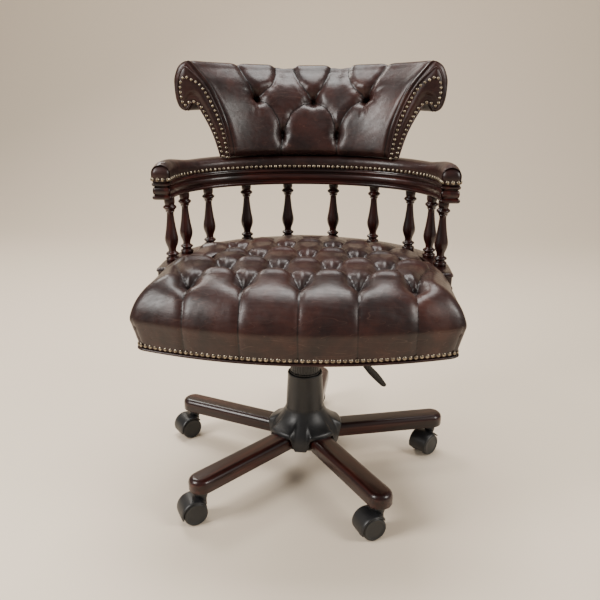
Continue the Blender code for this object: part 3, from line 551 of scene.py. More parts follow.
# %% [markdown]
# ## Plinth and arm rail
# The plinth is a plain bed with a rounded top edge and a bead along its foot. The rail
# is moulded on both faces: a fillet and cove under the leather, a broad round band, a
# quirk, and a bead at the bottom edge. These are profile points only, set in from the
# widest line, so the reeds can be changed without touching the outline.

# %% Plinth
rest_of = {name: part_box(name) for name in ("gallery_plinth", "arm_rail", "arm_pad", "seat_frame")}
PLINTH = (0.2805, 0.232, -0.082)
plinth_low, plinth_high = (v.z for v in rest_of["gallery_plinth"])
plinth_profile = [
    (0.003, plinth_low), (0.0006, plinth_low + 0.0014), (0.0, plinth_low + 0.004),
    (0.0006, plinth_low + 0.0066), (0.0028, plinth_low + 0.008), (0.0034, plinth_low + 0.0095),
    (0.0026, plinth_low + 0.011), (0.0024, plinth_low + 0.020), (0.0024, plinth_high - 0.0092),
    (0.0010, plinth_high - 0.0078), (0.0, plinth_high - 0.0062), (0.0002, plinth_high - 0.0040),
    (0.0014, plinth_high - 0.0018), (0.0036, plinth_high - 0.0004), (0.0060, plinth_high),
]
plinth = moulding("gallery_bed", PLINTH, (0.0205, 0.029), plinth_profile, mahogany)
finish_piece(plinth, "seat", "mahogany", "gallery_plinth")

# %% Arm rail
RAIL = (0.2885, 0.227, -0.048)
rail_low, rail_high = (v.z for v in rest_of["arm_rail"])
rail_profile = [
    (0.0060, rail_low), (0.0022, rail_low + 0.0006), (0.0004, rail_low + 0.0024),
    (0.0, rail_low + 0.0046), (0.0008, rail_low + 0.0068), (0.0030, rail_low + 0.0080),
    (0.0050, rail_low + 0.0088), (0.0050, rail_low + 0.0104), (0.0030, rail_low + 0.0114),
    (0.0020, rail_low + 0.0140), (0.0016, rail_low + 0.0180), (0.0022, rail_low + 0.0220),
    (0.0036, rail_low + 0.0244), (0.0056, rail_low + 0.0252), (0.0056, rail_low + 0.0266),
    (0.0030, rail_low + 0.0274), (0.0008, rail_low + 0.0290), (0.0002, rail_low + 0.0312),
    (0.0010, rail_low + 0.0334), (0.0030, rail_low + 0.0346), (0.0034, rail_high),
]
rail = moulding("moulded_arm_rail", RAIL, (0.020, 0.032), rail_profile, mahogany)
finish_piece(rail, "seat", "mahogany", "arm_rail")

# %% [markdown]
# ## Turned spindles
# Ten spindles alike make the gallery, so one is turned and the rest are copies. The
# turning is a list of (share of the height, radius) points with a smooth curve through
# them: foot ring, reel, bead, vase, long neck, collar. A Geometry Nodes tree then stands
# a copy on each foot point and gives each its own turn, so no two show the same grain.

# %% Spindle tree
def group_with(name, sockets):
    """A geometry node group with named inputs, and its input and output nodes."""
    made = bpy.data.node_groups.new(name, "GeometryNodeTree")
    made.interface.new_socket("Geometry", in_out="INPUT", socket_type="NodeSocketGeometry")
    for label, kind in sockets:
        made.interface.new_socket(label, in_out="INPUT", socket_type="NodeSocket" + kind)
    made.interface.new_socket("Geometry", in_out="OUTPUT", socket_type="NodeSocketGeometry")
    return made, made.nodes.new("NodeGroupInput").outputs, made.nodes.new("NodeGroupOutput").inputs


def grown(name, source, group, values):
    """Run a node group on a mesh, and keep the result as a plain mesh."""
    modifier = source.modifiers.new("grow", "NODES")
    modifier.node_group = group
    sockets = {s.name: s.identifier for s in group.interface.items_tree
               if s.item_type == "SOCKET" and s.in_out == "INPUT"}
    for label, value in values.items():
        modifier[sockets[label]] = value
    ready = source.evaluated_get(bpy.context.evaluated_depsgraph_get())
    mesh = bpy.data.meshes.new_from_object(ready)
    mesh.name = name
    made = bpy.data.objects.new(name, mesh)
    scene.collection.objects.link(made)
    bpy.data.objects.remove(source)
    return made


copies, into, out_of = group_with("Stand copies on points", [
    ("Pattern", "Object"), ("Seed", "Int"), ("Finish", "Material")])
pattern_in = node(copies, "GeometryNodeObjectInfo", {"Object": into["Pattern"]},
                  transform_space="ORIGINAL")
turn_by = node(copies, "FunctionNodeRandomValue", {"Seed": into["Seed"]}, data_type="FLOAT")
turn_by.inputs[3].default_value = 2 * math.pi
upright = node(copies, "ShaderNodeCombineXYZ", {"Z": turn_by.outputs[1]})
stood = node(copies, "GeometryNodeInstanceOnPoints", {
    "Points": into["Geometry"], "Instance": pattern_in.outputs["Geometry"],
    "Rotation": upright.outputs["Vector"]})
shift = node(copies, "FunctionNodeRandomValue", {"Seed": into["Seed"]}, data_type="FLOAT_VECTOR")
made_real = node(copies, "GeometryNodeRealizeInstances", {"Geometry": stood.outputs["Instances"]})
painted = node(copies, "GeometryNodeSetMaterial", {
    "Geometry": made_real.outputs["Geometry"], "Material": into["Finish"]})
copies.links.new(painted.outputs["Geometry"], out_of["Geometry"])
copies.nodes.remove(shift)
print("tree:", copies.name, len(copies.nodes), "nodes")

# %% Ten spindles
TURNING = (
    (0.000, 0.0128), (0.018, 0.0136), (0.040, 0.0138), (0.056, 0.0126), (0.066, 0.0098),
    (0.078, 0.0094), (0.090, 0.0108), (0.104, 0.0132), (0.122, 0.0134), (0.138, 0.0110),
    (0.150, 0.0084), (0.172, 0.0080), (0.215, 0.0092), (0.270, 0.0122), (0.335, 0.0140),
    (0.405, 0.0132), (0.500, 0.0108), (0.620, 0.0086), (0.715, 0.0073), (0.762, 0.0072),
    (0.784, 0.0080), (0.792, 0.0096), (0.804, 0.0090), (0.826, 0.0112), (0.848, 0.0138),
    (0.868, 0.0136), (0.888, 0.0108), (0.900, 0.0096), (0.916, 0.0106), (0.950, 0.0110),
    (1.000, 0.0108),
)
SPINDLE_DEGS = (2.5, 19.5, 36.8, 58.4, 79.0)
foot_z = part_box("spindle_right_1")[0].z
head_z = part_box("spindle_right_1")[1].z
profile = [(r, share * (head_z - foot_z)) for share, r in flow(TURNING, 2)]
verts, faces = skin(turned(profile, 28, (0, 0, 0)))
spindle = solid("spindle_pattern", verts, faces, mahogany, 60)
pts = points_of(spindle.data)
set_attribute(spindle.data, "grain", pts[:, [2, 0, 1]], "FLOAT_VECTOR")
feet = []
for degrees in SPINDLE_DEGS:
    for angle in (math.radians(degrees), math.radians(180 - degrees)):
        feet.append((PLINTH[0] * math.cos(angle), GALLERY_Y + PLINTH[1] * math.sin(angle), foot_z))
stand = bpy.data.meshes.new("spindle_feet")
stand.from_pydata([tuple(p) for p in at_chair(feet)], [], [])
stand = bpy.data.objects.new("spindle_feet", stand)
scene.collection.objects.link(stand)
spindles = grown("turned_spindles", stand, copies, {"Pattern": spindle, "Seed": 4, "Finish": mahogany})
bpy.data.objects.remove(spindle)
finish_piece(spindles, "seat", "mahogany",
             *[f"spindle_{side}_{n}" for side in ("right", "left") for n in range(1, 6)])

# %% [markdown]
# ## How buttoned leather is made here
# On a real seat the hide is laid over deep foam, buttons pull it down through the foam
# in a diamond pattern, and the spare leather folds into a pleat along each line between
# two buttons. Here the smooth cushion is drawn first, as if no button were in it. Then
# each point is pulled in along its own normal by what lies near it: a little along a
# pleat, much more at a button. A pleat's pull falls off like the side of a round pillow,
# so two pillows meet in a sharp valley. Points that almost lie on a pleat are moved onto
# it, so the valley is a clean line of edges and not a row of steps.

# %% Pulling a surface in along pleats
def to_line(points, line, reach):
    """Distance from points to a line, and the share along it; far points get 9.0."""
    best = np.full(len(points), 9.0)
    share = np.zeros(len(points))
    foot = np.array(points)
    total = len(line) - 1
    for k in range(total):
        a, b = line[k], line[k + 1]
        low = np.minimum(a, b) - reach
        high = np.maximum(a, b) + reach
        close = np.where(np.all((points > low) & (points < high), axis=1))[0]
        if not len(close):
            continue
        way = b - a
        t = np.clip((points[close] - a) @ way / max(way @ way, 1e-12), 0, 1)
        at = a + t[:, None] * way
        gap = np.linalg.norm(points[close] - at, axis=1)
        nearer = gap < best[close]
        hit = close[nearer]
        best[hit] = gap[nearer]
        share[hit] = (k + t[nearer]) / total
        foot[hit] = at[nearer]
    return best, share, foot


def pillow(x):
    """How much of a pleat's pull is left at a share x of its reach."""
    x = np.clip(x, 0, 1)
    round_side = 1 - np.sqrt(np.clip(1 - (1 - x) ** 2, 0, 1))
    return 0.55 * round_side + 0.45 * (1 - x) ** 2.2


def pull_in(points, normals, pleats, soft_lines, buttons, snap):
    """Pull points in along pleats and at buttons.
    Returns the points, how deep each lies, and how near a pleat each is, both 0 to 1."""
    points = points.copy()
    total = np.zeros(len(points))
    nearest = np.full(len(points), 9.0)
    onto = points.copy()
    for line, depths, reach in pleats:
        gap, share, foot = to_line(points, line, reach)
        depth = np.interp(share, np.linspace(0, 1, len(depths)), depths)
        total += (depth * pillow(gap / reach)) ** 4
        nearer = (gap < nearest) & (depth > 0.0011)
        nearest[nearer] = gap[nearer]
        onto[nearer] = foot[nearer]
    pull = total ** 0.25
    for line, depths, reach in soft_lines:
        gap, share, _ = to_line(points, line, reach)
        depth = np.interp(share, np.linspace(0, 1, len(depths)), depths)
        pull += depth * np.cos(np.clip(gap / reach, 0, 1) * math.pi / 2) ** 2
    for at, depth, reach in buttons:
        gap = np.linalg.norm(points - at, axis=1)
        pull += depth * np.exp(-(gap / reach) ** 2)
    close = nearest < snap
    points[close] = points[close] * 0.1 + onto[close] * 0.9
    deep = np.clip(pull / 0.030, 0, 1)
    return points - normals * pull[:, None], deep, np.clip(1 - nearest / 0.006, 0, 1)


print("pleat helpers ready")

# %% [markdown]
# ## The seat
# The seat is one deep cushion. Behind, it fills the horseshoe and stands against the
# plinth. In front of the plinth's two ends it swells out over the frame, rolls round a
# bowed front, and is nailed along the frame's lower edge. It is drawn as a stack of plan
# outlines from the nail line up to the crown, remeshed to an even 3 mm, and then
# buttoned: five buttons along the front, with a straight pleat from each down to the
# nails, and four rows of diamonds behind them.

# %% Seat outline
NAIL_WIDE, NAIL_CORNER_Y, NAIL_FRONT_Y = 0.2838, -0.2850, -0.3380
BULGE = 0.0142
STEP_Y = -0.0845
INNER_A = PLINTH[0] - 0.0205 - 0.0015
INNER_B = PLINTH[1] - 0.029 - 0.0015


def seat_plan(spacing=0.004):
    """The widest plan outline, from the middle of the front round to the right, with
    how far each point belongs to the part inside the horseshoe, 0 to 1."""
    wide, corner, front = NAIL_WIDE + BULGE, NAIL_CORNER_Y - 0.006, NAIL_FRONT_Y - BULGE
    bow = [(wide * u, corner - (corner - front) * (1 - u ** 2)) for u in np.linspace(0, 0.955, 12)]
    turn = [(wide - 0.0050, corner + 0.0005), (wide + 0.0005, corner + 0.011)]
    side = [(wide, -0.240), (wide, -0.190), (wide, -0.140), (wide, -0.100)]
    outer = flow(bow + turn + side, 6)
    lap = np.array([(wide - 0.0005, STEP_Y - 0.0025), (wide - 0.005, STEP_Y), (INNER_A + 0.006, STEP_Y),
                    (INNER_A, STEP_Y + 0.004), (INNER_A, GALLERY_Y)])
    bend = [(INNER_A * math.cos(t), GALLERY_Y + INNER_B * math.sin(t))
            for t in np.linspace(0, math.pi / 2, 40)[1:]]
    right = even(np.vstack([outer, lap, bend]), spacing)
    left = right[::-1][1:-1] * (-1, 1)
    plan = np.vstack([right, left])
    inside = np.clip((plan[:, 1] - STEP_Y + 0.003) / 0.006, 0, 1)
    inside *= np.clip((INNER_A + 0.012 - np.abs(plan[:, 0])) / 0.012, 0, 1)
    return plan, inside


# height of each level, and how far it is set in from the widest outline
FRONT_SIDE = (
    (0.0142, 0.3925), (0.0138, 0.3985), (0.0104, 0.411), (0.0062, 0.426), (0.0022, 0.440),
    (0.0000, 0.4485), (0.0034, 0.460), (0.0100, 0.474), (0.0200, 0.488), (0.0345, 0.5020),
    (0.0560, 0.5145), (0.0850, 0.5235), (0.1250, 0.5260), (0.1800, 0.5262), (0.2500, 0.5262),
)
BACK_SIDE = (
    (0.0000, 0.4095), (0.0000, 0.415), (0.0000, 0.425), (0.0000, 0.435), (0.0000, 0.450),
    (0.0000, 0.465), (0.0000, 0.476), (0.0010, 0.484), (0.0070, 0.4925), (0.0200, 0.5010),
    (0.0400, 0.5085), (0.0700, 0.515), (0.1100, 0.520), (0.1500, 0.5235), (0.1850, 0.5250),
)
plan, inside = seat_plan()
middle = np.array((0.0, -0.095))
toward = middle - plan
far = np.linalg.norm(toward, axis=1)
toward /= far[:, None]
front_side, back_side = flow(FRONT_SIDE, 3), flow(BACK_SIDE, 3)
rings = []
for (inset_f, z_f), (inset_b, z_b) in zip(front_side, back_side):
    inset = inset_f + (inset_b - inset_f) * inside
    height = z_f + (z_b - z_f) * inside
    flat = plan + toward * np.minimum(inset, far * 0.97)[:, None]
    rings.append(np.column_stack([flat, height]))
under = plan + toward * (0.022 + (0.004 - 0.022) * inside)[:, None]
rings.insert(0, np.column_stack([under, rings[0][:, 2]]))
rings.insert(0, np.column_stack([under + toward * 0.001, np.full(len(plan), 0.4095)]))
verts, faces = skin(rings)
smooth_seat = solid("smooth_seat", at_chair(verts), faces, leather)
print("seat outline:", len(plan), "points,", len(rings), "levels")

# %% Even mesh
def remeshed(source, voxel):
    """An even mesh of a closed shape, as points, normals and faces."""
    step = source.modifiers.new("even", "REMESH")
    step.mode = "VOXEL"
    step.voxel_size = voxel
    step.use_smooth_shade = True
    ready = source.evaluated_get(bpy.context.evaluated_depsgraph_get())
    mesh = bpy.data.meshes.new_from_object(ready)
    bpy.data.objects.remove(source)
    return mesh


seat_mesh = remeshed(smooth_seat, 0.0034)
print("seat mesh:", len(seat_mesh.vertices), "points")

# %% Seat pleats
ROW_Y = (-0.262, -0.180, -0.098, -0.016, 0.064)
PITCH_X, SHIFT_X = 0.1015, 0.008
odd_x = [SHIFT_X + PITCH_X * k for k in (-2, -1, 0, 1, 2)]
even_x = [SHIFT_X + PITCH_X * (k + 0.5) for k in (-2, -1, 0, 1)]
rows = [odd_x, even_x, odd_x, even_x, odd_x[1:4]]
MID, NEAR = 0.0165, 0.0215
plan_lines = []
for (low_x, low_y), (high_x, high_y) in zip(zip(rows, ROW_Y), zip(rows[1:], ROW_Y[1:])):
    for x in low_x:
        for other in high_x:
            if abs(other - x) < PITCH_X * 0.6:
                # a pleat runs back before it turns to the next button, so pillows are square in front
                bowed = [(x + (other - x) * u ** 1.3, low_y + (high_y - low_y) * u)
                         for u in np.linspace(0, 1, 9)]
                plan_lines.append((bowed, (NEAR, MID, MID, NEAR), 0.026))
for x in odd_x:
    nail_y = NAIL_CORNER_Y - (NAIL_CORNER_Y - NAIL_FRONT_Y) * (1 - (x / NAIL_WIDE) ** 2) - 0.03
    plan_lines.append(([(x, ROW_Y[0]), (x, nail_y)], (NEAR * 0.6, 0.0046, 0.0030, 0.0024), 0.018))
for side in (-1, 1):
    ends = [x for x in (odd_x[0], odd_x[4]) if x * side > 0]
    mids = [x for x in (even_x[0], even_x[3]) if x * side > 0]
    plan_lines.append(([(ends[0], ROW_Y[0]), (side * 0.226, -0.200), (side * 0.252, -0.120)],
                       (NEAR, 0.011, 0.005), 0.030))
    plan_lines.append(([(ends[0], ROW_Y[2]), (side * 0.258, -0.125)], (NEAR, 0.011, 0.005), 0.030))
    plan_lines.append(([(ends[0], ROW_Y[2]), (side * 0.256, -0.045)], (NEAR, 0.011, 0.005), 0.030))
    plan_lines.append(([(mids[0], ROW_Y[3]), (side * 0.205, 0.075)], (NEAR, 0.011, 0.005), 0.030))
    outer = side * PITCH_X + SHIFT_X
    plan_lines.append(([(outer, ROW_Y[4]), (side * 0.160, 0.126)], (NEAR, 0.010, 0.006), 0.040))
    plan_lines.append(([(outer, ROW_Y[4]), (side * 0.062, 0.162)], (NEAR, 0.010, 0.006), 0.040))
plan_lines.append(([(SHIFT_X, ROW_Y[4]), (SHIFT_X + 0.028, 0.124)], (NEAR, 0.009, 0.0), 0.026))
plan_lines.append(([(SHIFT_X, ROW_Y[4]), (SHIFT_X - 0.028, 0.124)], (NEAR, 0.009, 0.0), 0.026))
print("seat:", len(plan_lines), "pleats between", sum(len(r) for r in rows), "buttons")

# %% Lay the pleats on the cushion
def draped(plan_points, tree, spacing=0.006):
    """A plan line laid on a surface from above."""
    laid = []
    for x, y in even(np.array(plan_points), spacing):
        hit = tree.ray_cast(Vector((x, y, 1.0)), Vector((0, 0, -1)))
        if hit[0] is not None:
            laid.append(hit[0])
    return np.array(laid)


def down_the_front(line, tree):
    """Carry a line that ran off the front edge down to the nails."""
    x = line[-1][0]
    for z in np.linspace(line[-1][2] - 0.004, 0.400, 18):
        hit = tree.ray_cast(Vector((x, -1.0, z)), Vector((0, 1, 0)))
        if hit[0] is not None:
            line = np.vstack([line, hit[0]])
    return even(line, 0.006)


seat_tree = BVHTree.FromPolygons([v.co for v in seat_mesh.vertices],
                                 [p.vertices for p in seat_mesh.polygons])
seat_pleats = []
for plan_points, depths, reach in plan_lines:
    line = draped(at_chair([(x, y, 0) for x, y in plan_points])[:, :2], seat_tree)
    if plan_points[-1][1] < -0.3:
        line = down_the_front(line, seat_tree)
    seat_pleats.append((line, depths, reach))
for side in (-1, 1):
    corner = []
    for z in np.linspace(0.455, 0.400, 10):
        origin = Vector((side * 0.40, -0.37 + COLUMN_Y, z))
        hit = seat_tree.ray_cast(origin, Vector((-side * 0.120, 0.085, 0)).normalized())
        if hit[0] is not None:
            corner.append(hit[0])
    seat_pleats.append((np.array(corner), (0.001, 0.003, 0.003), 0.020))
seat_buttons = []
button_spots = []
for xs, y in zip(rows, ROW_Y):
    for x in xs:
        hit, normal, _, _ = seat_tree.ray_cast(Vector((x, y + COLUMN_Y, 1.0)), Vector((0, 0, -1)))
        seat_buttons.append((np.array(hit), 0.0135, 0.0235))
        button_spots.append((np.array(hit), np.array(normal)))
# a low ridge across each pillow makes its crest broad and level
ridges = []
for row, y in enumerate(ROW_Y[:-1]):
    for x in (even_x if row % 2 == 0 else odd_x):
        if abs(x) < 0.215 - 0.25 * max(0, y + 0.05):
            line = draped(at_chair([(x - 0.024, y + 0.040, 0), (x + 0.024, y + 0.040, 0)])[:, :2], seat_tree)
            ridges.append((line, (-0.0068, -0.0052, -0.0068), 0.022))
print("laid:", len(seat_pleats), "pleats and", len(ridges), "ridges")

# %% Button the seat
seat_points = points_of(seat_mesh)
seat_normals = np.zeros(len(seat_points) * 3)
seat_mesh.vertices.foreach_get("normal", seat_normals)
seat_normals = seat_normals.reshape(-1, 3)
border = np.array([(x * 0.995, y, 0.4865) for x, y in plan[(inside > 0.9)]])
border = border[np.argsort(-np.arctan2(border[:, 1] - STEP_Y + 0.01, border[:, 0]))][::-1]
edge_line = (at_chair(border), (0.0075, 0.0075), 0.030)
pulled, deep_by, crease_by = pull_in(seat_points, seat_normals, seat_pleats, [edge_line] + ridges,
                                   seat_buttons, 0.0016)
top = seat_points[:, 2] > 0.395
pulled[~top] = seat_points[~top]
seat_mesh.vertices.foreach_set("co", pulled.ravel())
seat_mesh.update()
# deep and crease drive the leather's painted shade in the tufts and along the pleats
set_attribute(seat_mesh, "deep", deep_by)
set_attribute(seat_mesh, "crease", crease_by)
seat_mesh.name = "buttoned_seat"
seat_mesh.materials.clear()
seat_mesh.materials.append(leather)
seat = bpy.data.objects.new("buttoned_seat", seat_mesh)
scene.collection.objects.link(seat)
finish_piece(seat, "seat", "leather", "seat_cushion")

# %% [markdown]
# ## Heads along a line
# Brass nails and leather buttons are the same idea: one small head, copied along a line
# or onto points, each standing on the surface's own way out. A tree does both. It turns
# the line into a curve, walks along it by the pitch, and turns each head's axis to the
# *out* vector kept on the line. Hand-driven nails are never quite alike, so a seed gives
# every head its own small change of size.

# %% Nail tree
def head_tree(name, along_line):
    """A tree that sets squashed domes along lines, or onto points as they are."""
    made, into, out_of = group_with(name, [
        ("Pitch", "Float"), ("Radius", "Float"), ("Height", "Float"), ("Seed", "Int"),
        ("Finish", "Material")])
    spots = into["Geometry"]
    if along_line:
        curve = node(made, "GeometryNodeMeshToCurve", {"Mesh": spots})
        spots = node(made, "GeometryNodeResampleCurve", {
            "Curve": curve.outputs["Curve"], "Length": into["Pitch"]},
            mode="LENGTH").outputs["Curve"]
    out = node(made, "GeometryNodeInputNamedAttribute", {"Name": "out"}, data_type="FLOAT_VECTOR")
    aim = node(made, "FunctionNodeAlignRotationToVector",
               {"Vector": out.outputs["Attribute"]}, axis="Z")
    size = node(made, "FunctionNodeRandomValue", {"Seed": into["Seed"]}, data_type="FLOAT")
    size.inputs[2].default_value = 0.93
    size.inputs[3].default_value = 1.05
    ball = node(made, "GeometryNodeMeshUVSphere", {"Segments": 12, "Rings": 8, "Radius": 1.0})
    shape = node(made, "ShaderNodeCombineXYZ", {
        "X": into["Radius"], "Y": into["Radius"], "Z": into["Height"]})
    dome = node(made, "GeometryNodeTransform", {
        "Geometry": ball.outputs["Mesh"], "Scale": shape.outputs["Vector"]})
    set_out = node(made, "GeometryNodeInstanceOnPoints", {
        "Points": spots, "Instance": dome.outputs["Geometry"],
        "Rotation": aim.outputs["Rotation"], "Scale": size.outputs[1]})
    real = node(made, "GeometryNodeRealizeInstances", {"Geometry": set_out.outputs["Instances"]})
    smooth = node(made, "GeometryNodeSetShadeSmooth", {"Geometry": real.outputs["Geometry"]})
    coat = node(made, "GeometryNodeSetMaterial", {
        "Geometry": smooth.outputs["Geometry"], "Material": into["Finish"]})
    made.links.new(coat.outputs["Geometry"], out_of["Geometry"])
    return made


nail_rows = head_tree("Nails along a line", True)
button_heads = head_tree("Buttons on points", False)


def heads(name, lines, group, values, body, slot):
    """Grow heads from lines of (point, way out) and ride them on a body."""
    points, outs, edges = [], [], []
    for line in lines:
        for k, (point, out) in enumerate(line):
            if k:
                edges.append((len(points) - 1, len(points)))
            points.append(tuple(point))
            outs.append(tuple(out))
    mesh = bpy.data.meshes.new(name + "_line")
    mesh.from_pydata(points, edges if group is nail_rows else [], [])
    set_attribute(mesh, "out", outs, "FLOAT_VECTOR")
    source = bpy.data.objects.new(name + "_line", mesh)
    scene.collection.objects.link(source)
    made = grown(name, source, group, values)
    finish_piece(made, body, slot)
    return made


print("trees:", nail_rows.name, "and", button_heads.name)

# %% Plan lines with their way out
def with_ways_out(points, height=None, centre=(0.0, -0.06)):
    """Pair the points of a plan line with the level way out from the middle."""
    pts = np.array(points, float)
    if height is not None:
        pts = np.column_stack([pts[:, :2], np.full(len(pts), height)])
    way = np.gradient(pts, axis=0)
    out = np.column_stack([way[:, 1], -way[:, 0], np.zeros(len(pts))])
    out /= np.maximum(np.linalg.norm(out, axis=1), 1e-9)[:, None]
    from_middle = pts[:, :2] - np.array(centre)
    if np.sum(out[:, :2] * from_middle) < 0:
        out = -out
    return list(zip(at_chair(pts), out))


NAIL = {"Pitch": 0.0104, "Radius": 0.0040, "Height": 0.0023, "Seed": 11, "Finish": nail_brass}
NAIL_Z = 0.3992
front_part = (plan[:, 1] < STEP_Y - 0.004) & (inside < 0.1)
nail_plan = (plan + toward * 0.0138)[front_part]
nail_plan = nail_plan[np.argsort(np.arctan2(nail_plan[:, 0], -(nail_plan[:, 1] + 0.05)))]
seat_line = with_ways_out(even(nail_plan, 0.004), NAIL_Z)
heads("seat_nails", [seat_line], nail_rows, NAIL, "seat", "nail_brass")

# %% Leather buttons
settled = BVHTree.FromPolygons([v.co for v in seat_mesh.vertices],
                               [p.vertices for p in seat_mesh.polygons])
spots = []
for at, normal in button_spots:
    hit = settled.ray_cast(Vector(at) + Vector(normal) * 0.05, -Vector(normal))[0]
    spots.append((np.array(hit) + normal * 0.0012, normal))
heads("seat_buttons", [spots], button_heads, {
    "Pitch": 0.01, "Radius": 0.0082, "Height": 0.0042, "Seed": 3, "Finish": leather}, "seat", "leather")

# %% [markdown]
# ## Leather round the frame
# Below the plinth the frame's rim is covered with a plain strip of the same hide, nailed
# along the bottom edge, and a thin welt runs round under the nails. The strip is a
# section carried round the horseshoe; its offsets change from the side to the back,
# because the board under it reaches further out behind.

# %% Rim strip
SIDE_STRIP = ((0.0148, 0.3925), (0.0152, 0.3992), (0.0156, 0.4030), (0.0166, 0.4085),
              (0.0174, 0.418), (0.0176, 0.430), (0.0168, 0.441), (0.0154, 0.4477))
BACK_STRIP = ((0.0243, 0.3925), (0.0247, 0.3992), (0.0250, 0.4050), (0.0246, 0.4105),
              (0.0234, 0.419), (0.0208, 0.430), (0.0180, 0.441), (0.0158, 0.4477))
strip_stations = horseshoe(PLINTH[0], PLINTH[1], STEP_Y + 0.001, 96)


def strip_section(backness, thick=0.0016):
    """The strip's closed section at one station, out and back."""
    side, back = flow(SIDE_STRIP, 3), flow(BACK_STRIP, 3)
    face = side + (back - side) * backness
    return np.vstack([face, (face - (thick, 0))[::-1]])


rings = []
for (x, y), (ox, oy), backness in strip_stations:
    section = strip_section(backness)
    rings.append([(x + ox * o, y + oy * o, z) for o, z in section])
verts, faces = skin(rings)
strip = solid("frame_strip", at_chair(verts), faces, leather, 50)
finish_piece(strip, "seat", "leather")
strip_line = []
for (x, y), (ox, oy), backness in strip_stations:
    o = 0.0155 + (0.0250 - 0.0155) * backness
    strip_line.append((x + ox * o, y + oy * o))
heads("frame_nails", [with_ways_out(even(strip_line, 0.004), NAIL_Z)], nail_rows,
      {**NAIL, "Seed": 12}, "seat", "nail_brass")

# %% Cords of piping
def tube_along(name, path, radius, finish, closed=False, sides=10):
    """A round cord along a path, ends closed unless it is a loop."""
    pts = np.array(path, float)
    way = np.roll(pts, -1, axis=0) - np.roll(pts, 1, axis=0) if closed else np.gradient(pts, axis=0)
    way /= np.linalg.norm(way, axis=1)[:, None]
    rings = []
    side = np.cross(way[0], (0.0, 0.0, 1.0))
    if np.linalg.norm(side) < 0.1:
        side = np.array((1.0, 0.0, 0.0))
    for p, w in zip(pts, way):
        side = side - w * (side @ w)
        side /= np.linalg.norm(side)
        up = np.cross(w, side)
        rings.append([p + radius * (side * math.cos(a) + up * math.sin(a))
                      for a in np.linspace(0, 2 * math.pi, sides, endpoint=False)])
    if closed:
        verts, faces = skin(rings + rings[:1], caps=False)
    else:
        verts, faces = skin(rings)
    return solid(name, verts, faces, finish)


welt_front = (plan + toward * 0.0132)[front_part]
welt_front = welt_front[np.argsort(np.arctan2(welt_front[:, 0], -(welt_front[:, 1] + 0.05)))]
welt_back = []
for (x, y), (ox, oy), backness in strip_stations:
    o = 0.0144 + (0.0240 - 0.0144) * backness
    welt_back.append((x + ox * o, y + oy * o))
welt_path = even(np.vstack([welt_front, welt_back, welt_front[:1]]), 0.005)[:-1]
welt_path = np.column_stack([welt_path, np.full(len(welt_path), 0.3918)])
welt = tube_along("seat_welt", at_chair(welt_path), 0.0024, leather, closed=True)
finish_piece(welt, "seat", "leather")
cord = [(x, y, 0.4862) for x, y in plan[(inside > 0.95)]]
cord = np.array(cord)
cord = cord[np.argsort(np.arctan2(cord[:, 1] + 0.2, cord[:, 0]))]
cord[:, :2] *= 1.002
piping = tube_along("seat_piping", at_chair(even(cord, 0.005)), 0.0021, leather)
finish_piece(piping, "seat", "leather")

# %% [markdown]
# ## Arm pad
# A padded roll of leather covers the top of the rail from one hand rest to the other. It
# swells a little past the wood, domes over on the arms, and is pressed flat where the
# back stands on it. It is another stack of plan outlines, so it closes round its ends as
# real leather does, and one closed row of nails runs round it just above the wood.

# %% Pad
pad_low = rest_of["arm_pad"][0].z
PAD_PROFILE = (
    (0.0014, 0.000), (0.0000, 0.002), (-0.0003, 0.0055), (-0.0009, 0.0095), (-0.0012, 0.015),
    (-0.0006, 0.0200), (0.0014, 0.0245), (0.0045, 0.0280), (0.0085, 0.0305), (0.0130, 0.0322),
    (0.0180, 0.0330),
)


def dome_on_arms(points):
    """Raise the pad on the arms, and press it level with the back's foot behind."""
    rise = points[:, 2] - pad_low
    on_arm = np.clip((0.085 - (points[:, 1] - COLUMN_Y)) / 0.09, 0, 1)
    on_arm = on_arm * on_arm * (3 - 2 * on_arm)
    # and let each hand rest fall away to its front edge
    to_front = np.clip((points[:, 1] - COLUMN_Y - RAIL[2] + 0.018) / 0.045, 0, 1)
    scale = 0.885 + (1.19 - 0.885) * on_arm - 0.36 * (1 - to_front) ** 1.6
    points[:, 2] = pad_low + rise * (1 + (scale - 1) * np.clip(rise / 0.012, 0, 1))
    return points


pad_levels = [(inset, pad_low + rise) for inset, rise in flow(PAD_PROFILE, 2)]
pad = moulding("arm_pad_leather", (RAIL[0], RAIL[1], RAIL[2] - 0.002), (0.0182, 0.0312), pad_levels,
               leather, 0.009, dome_on_arms)
finish_piece(pad, "seat", "leather", "arm_pad")
pad_loop = band_outline(horseshoe(RAIL[0], RAIL[1], RAIL[2] - 0.002), 0.0182, 0.0312, -0.0014, 0, 0.009)
loop = np.array(pad_loop)[:, :2]
loop = even(np.vstack([loop, loop[:1]]), 0.0035)
loop = np.column_stack([loop, np.full(len(loop), pad_low + 0.0052)])
way = np.gradient(loop, axis=0)
outs = np.column_stack([way[:, 1], -way[:, 0], np.zeros(len(loop))])
outs *= np.sign(outs[0] @ np.array((1.0, 0, 0))) / np.linalg.norm(outs, axis=1)[:, None]
heads("rail_nails", [list(zip(at_chair(loop), outs))], nail_rows,
      {**NAIL, "Pitch": 0.0109, "Radius": 0.0039, "Seed": 13}, "seat", "nail_brass")

# %% [markdown]
# ## The rolled back
# The back is one section carried round a bend: up the front face, over the crest, round
# the roll into the notch behind it, and down the rear. It is made straight away as a fine
# grid, so every point knows its place along the bend and up the section. The front is
# swelled a little, its foot is tucked in, and it is buttoned with three buttons above two.
# From each upper button two pleats open in a V over the crest, and the leather between
# two Vs is drawn lower than the leather inside them.

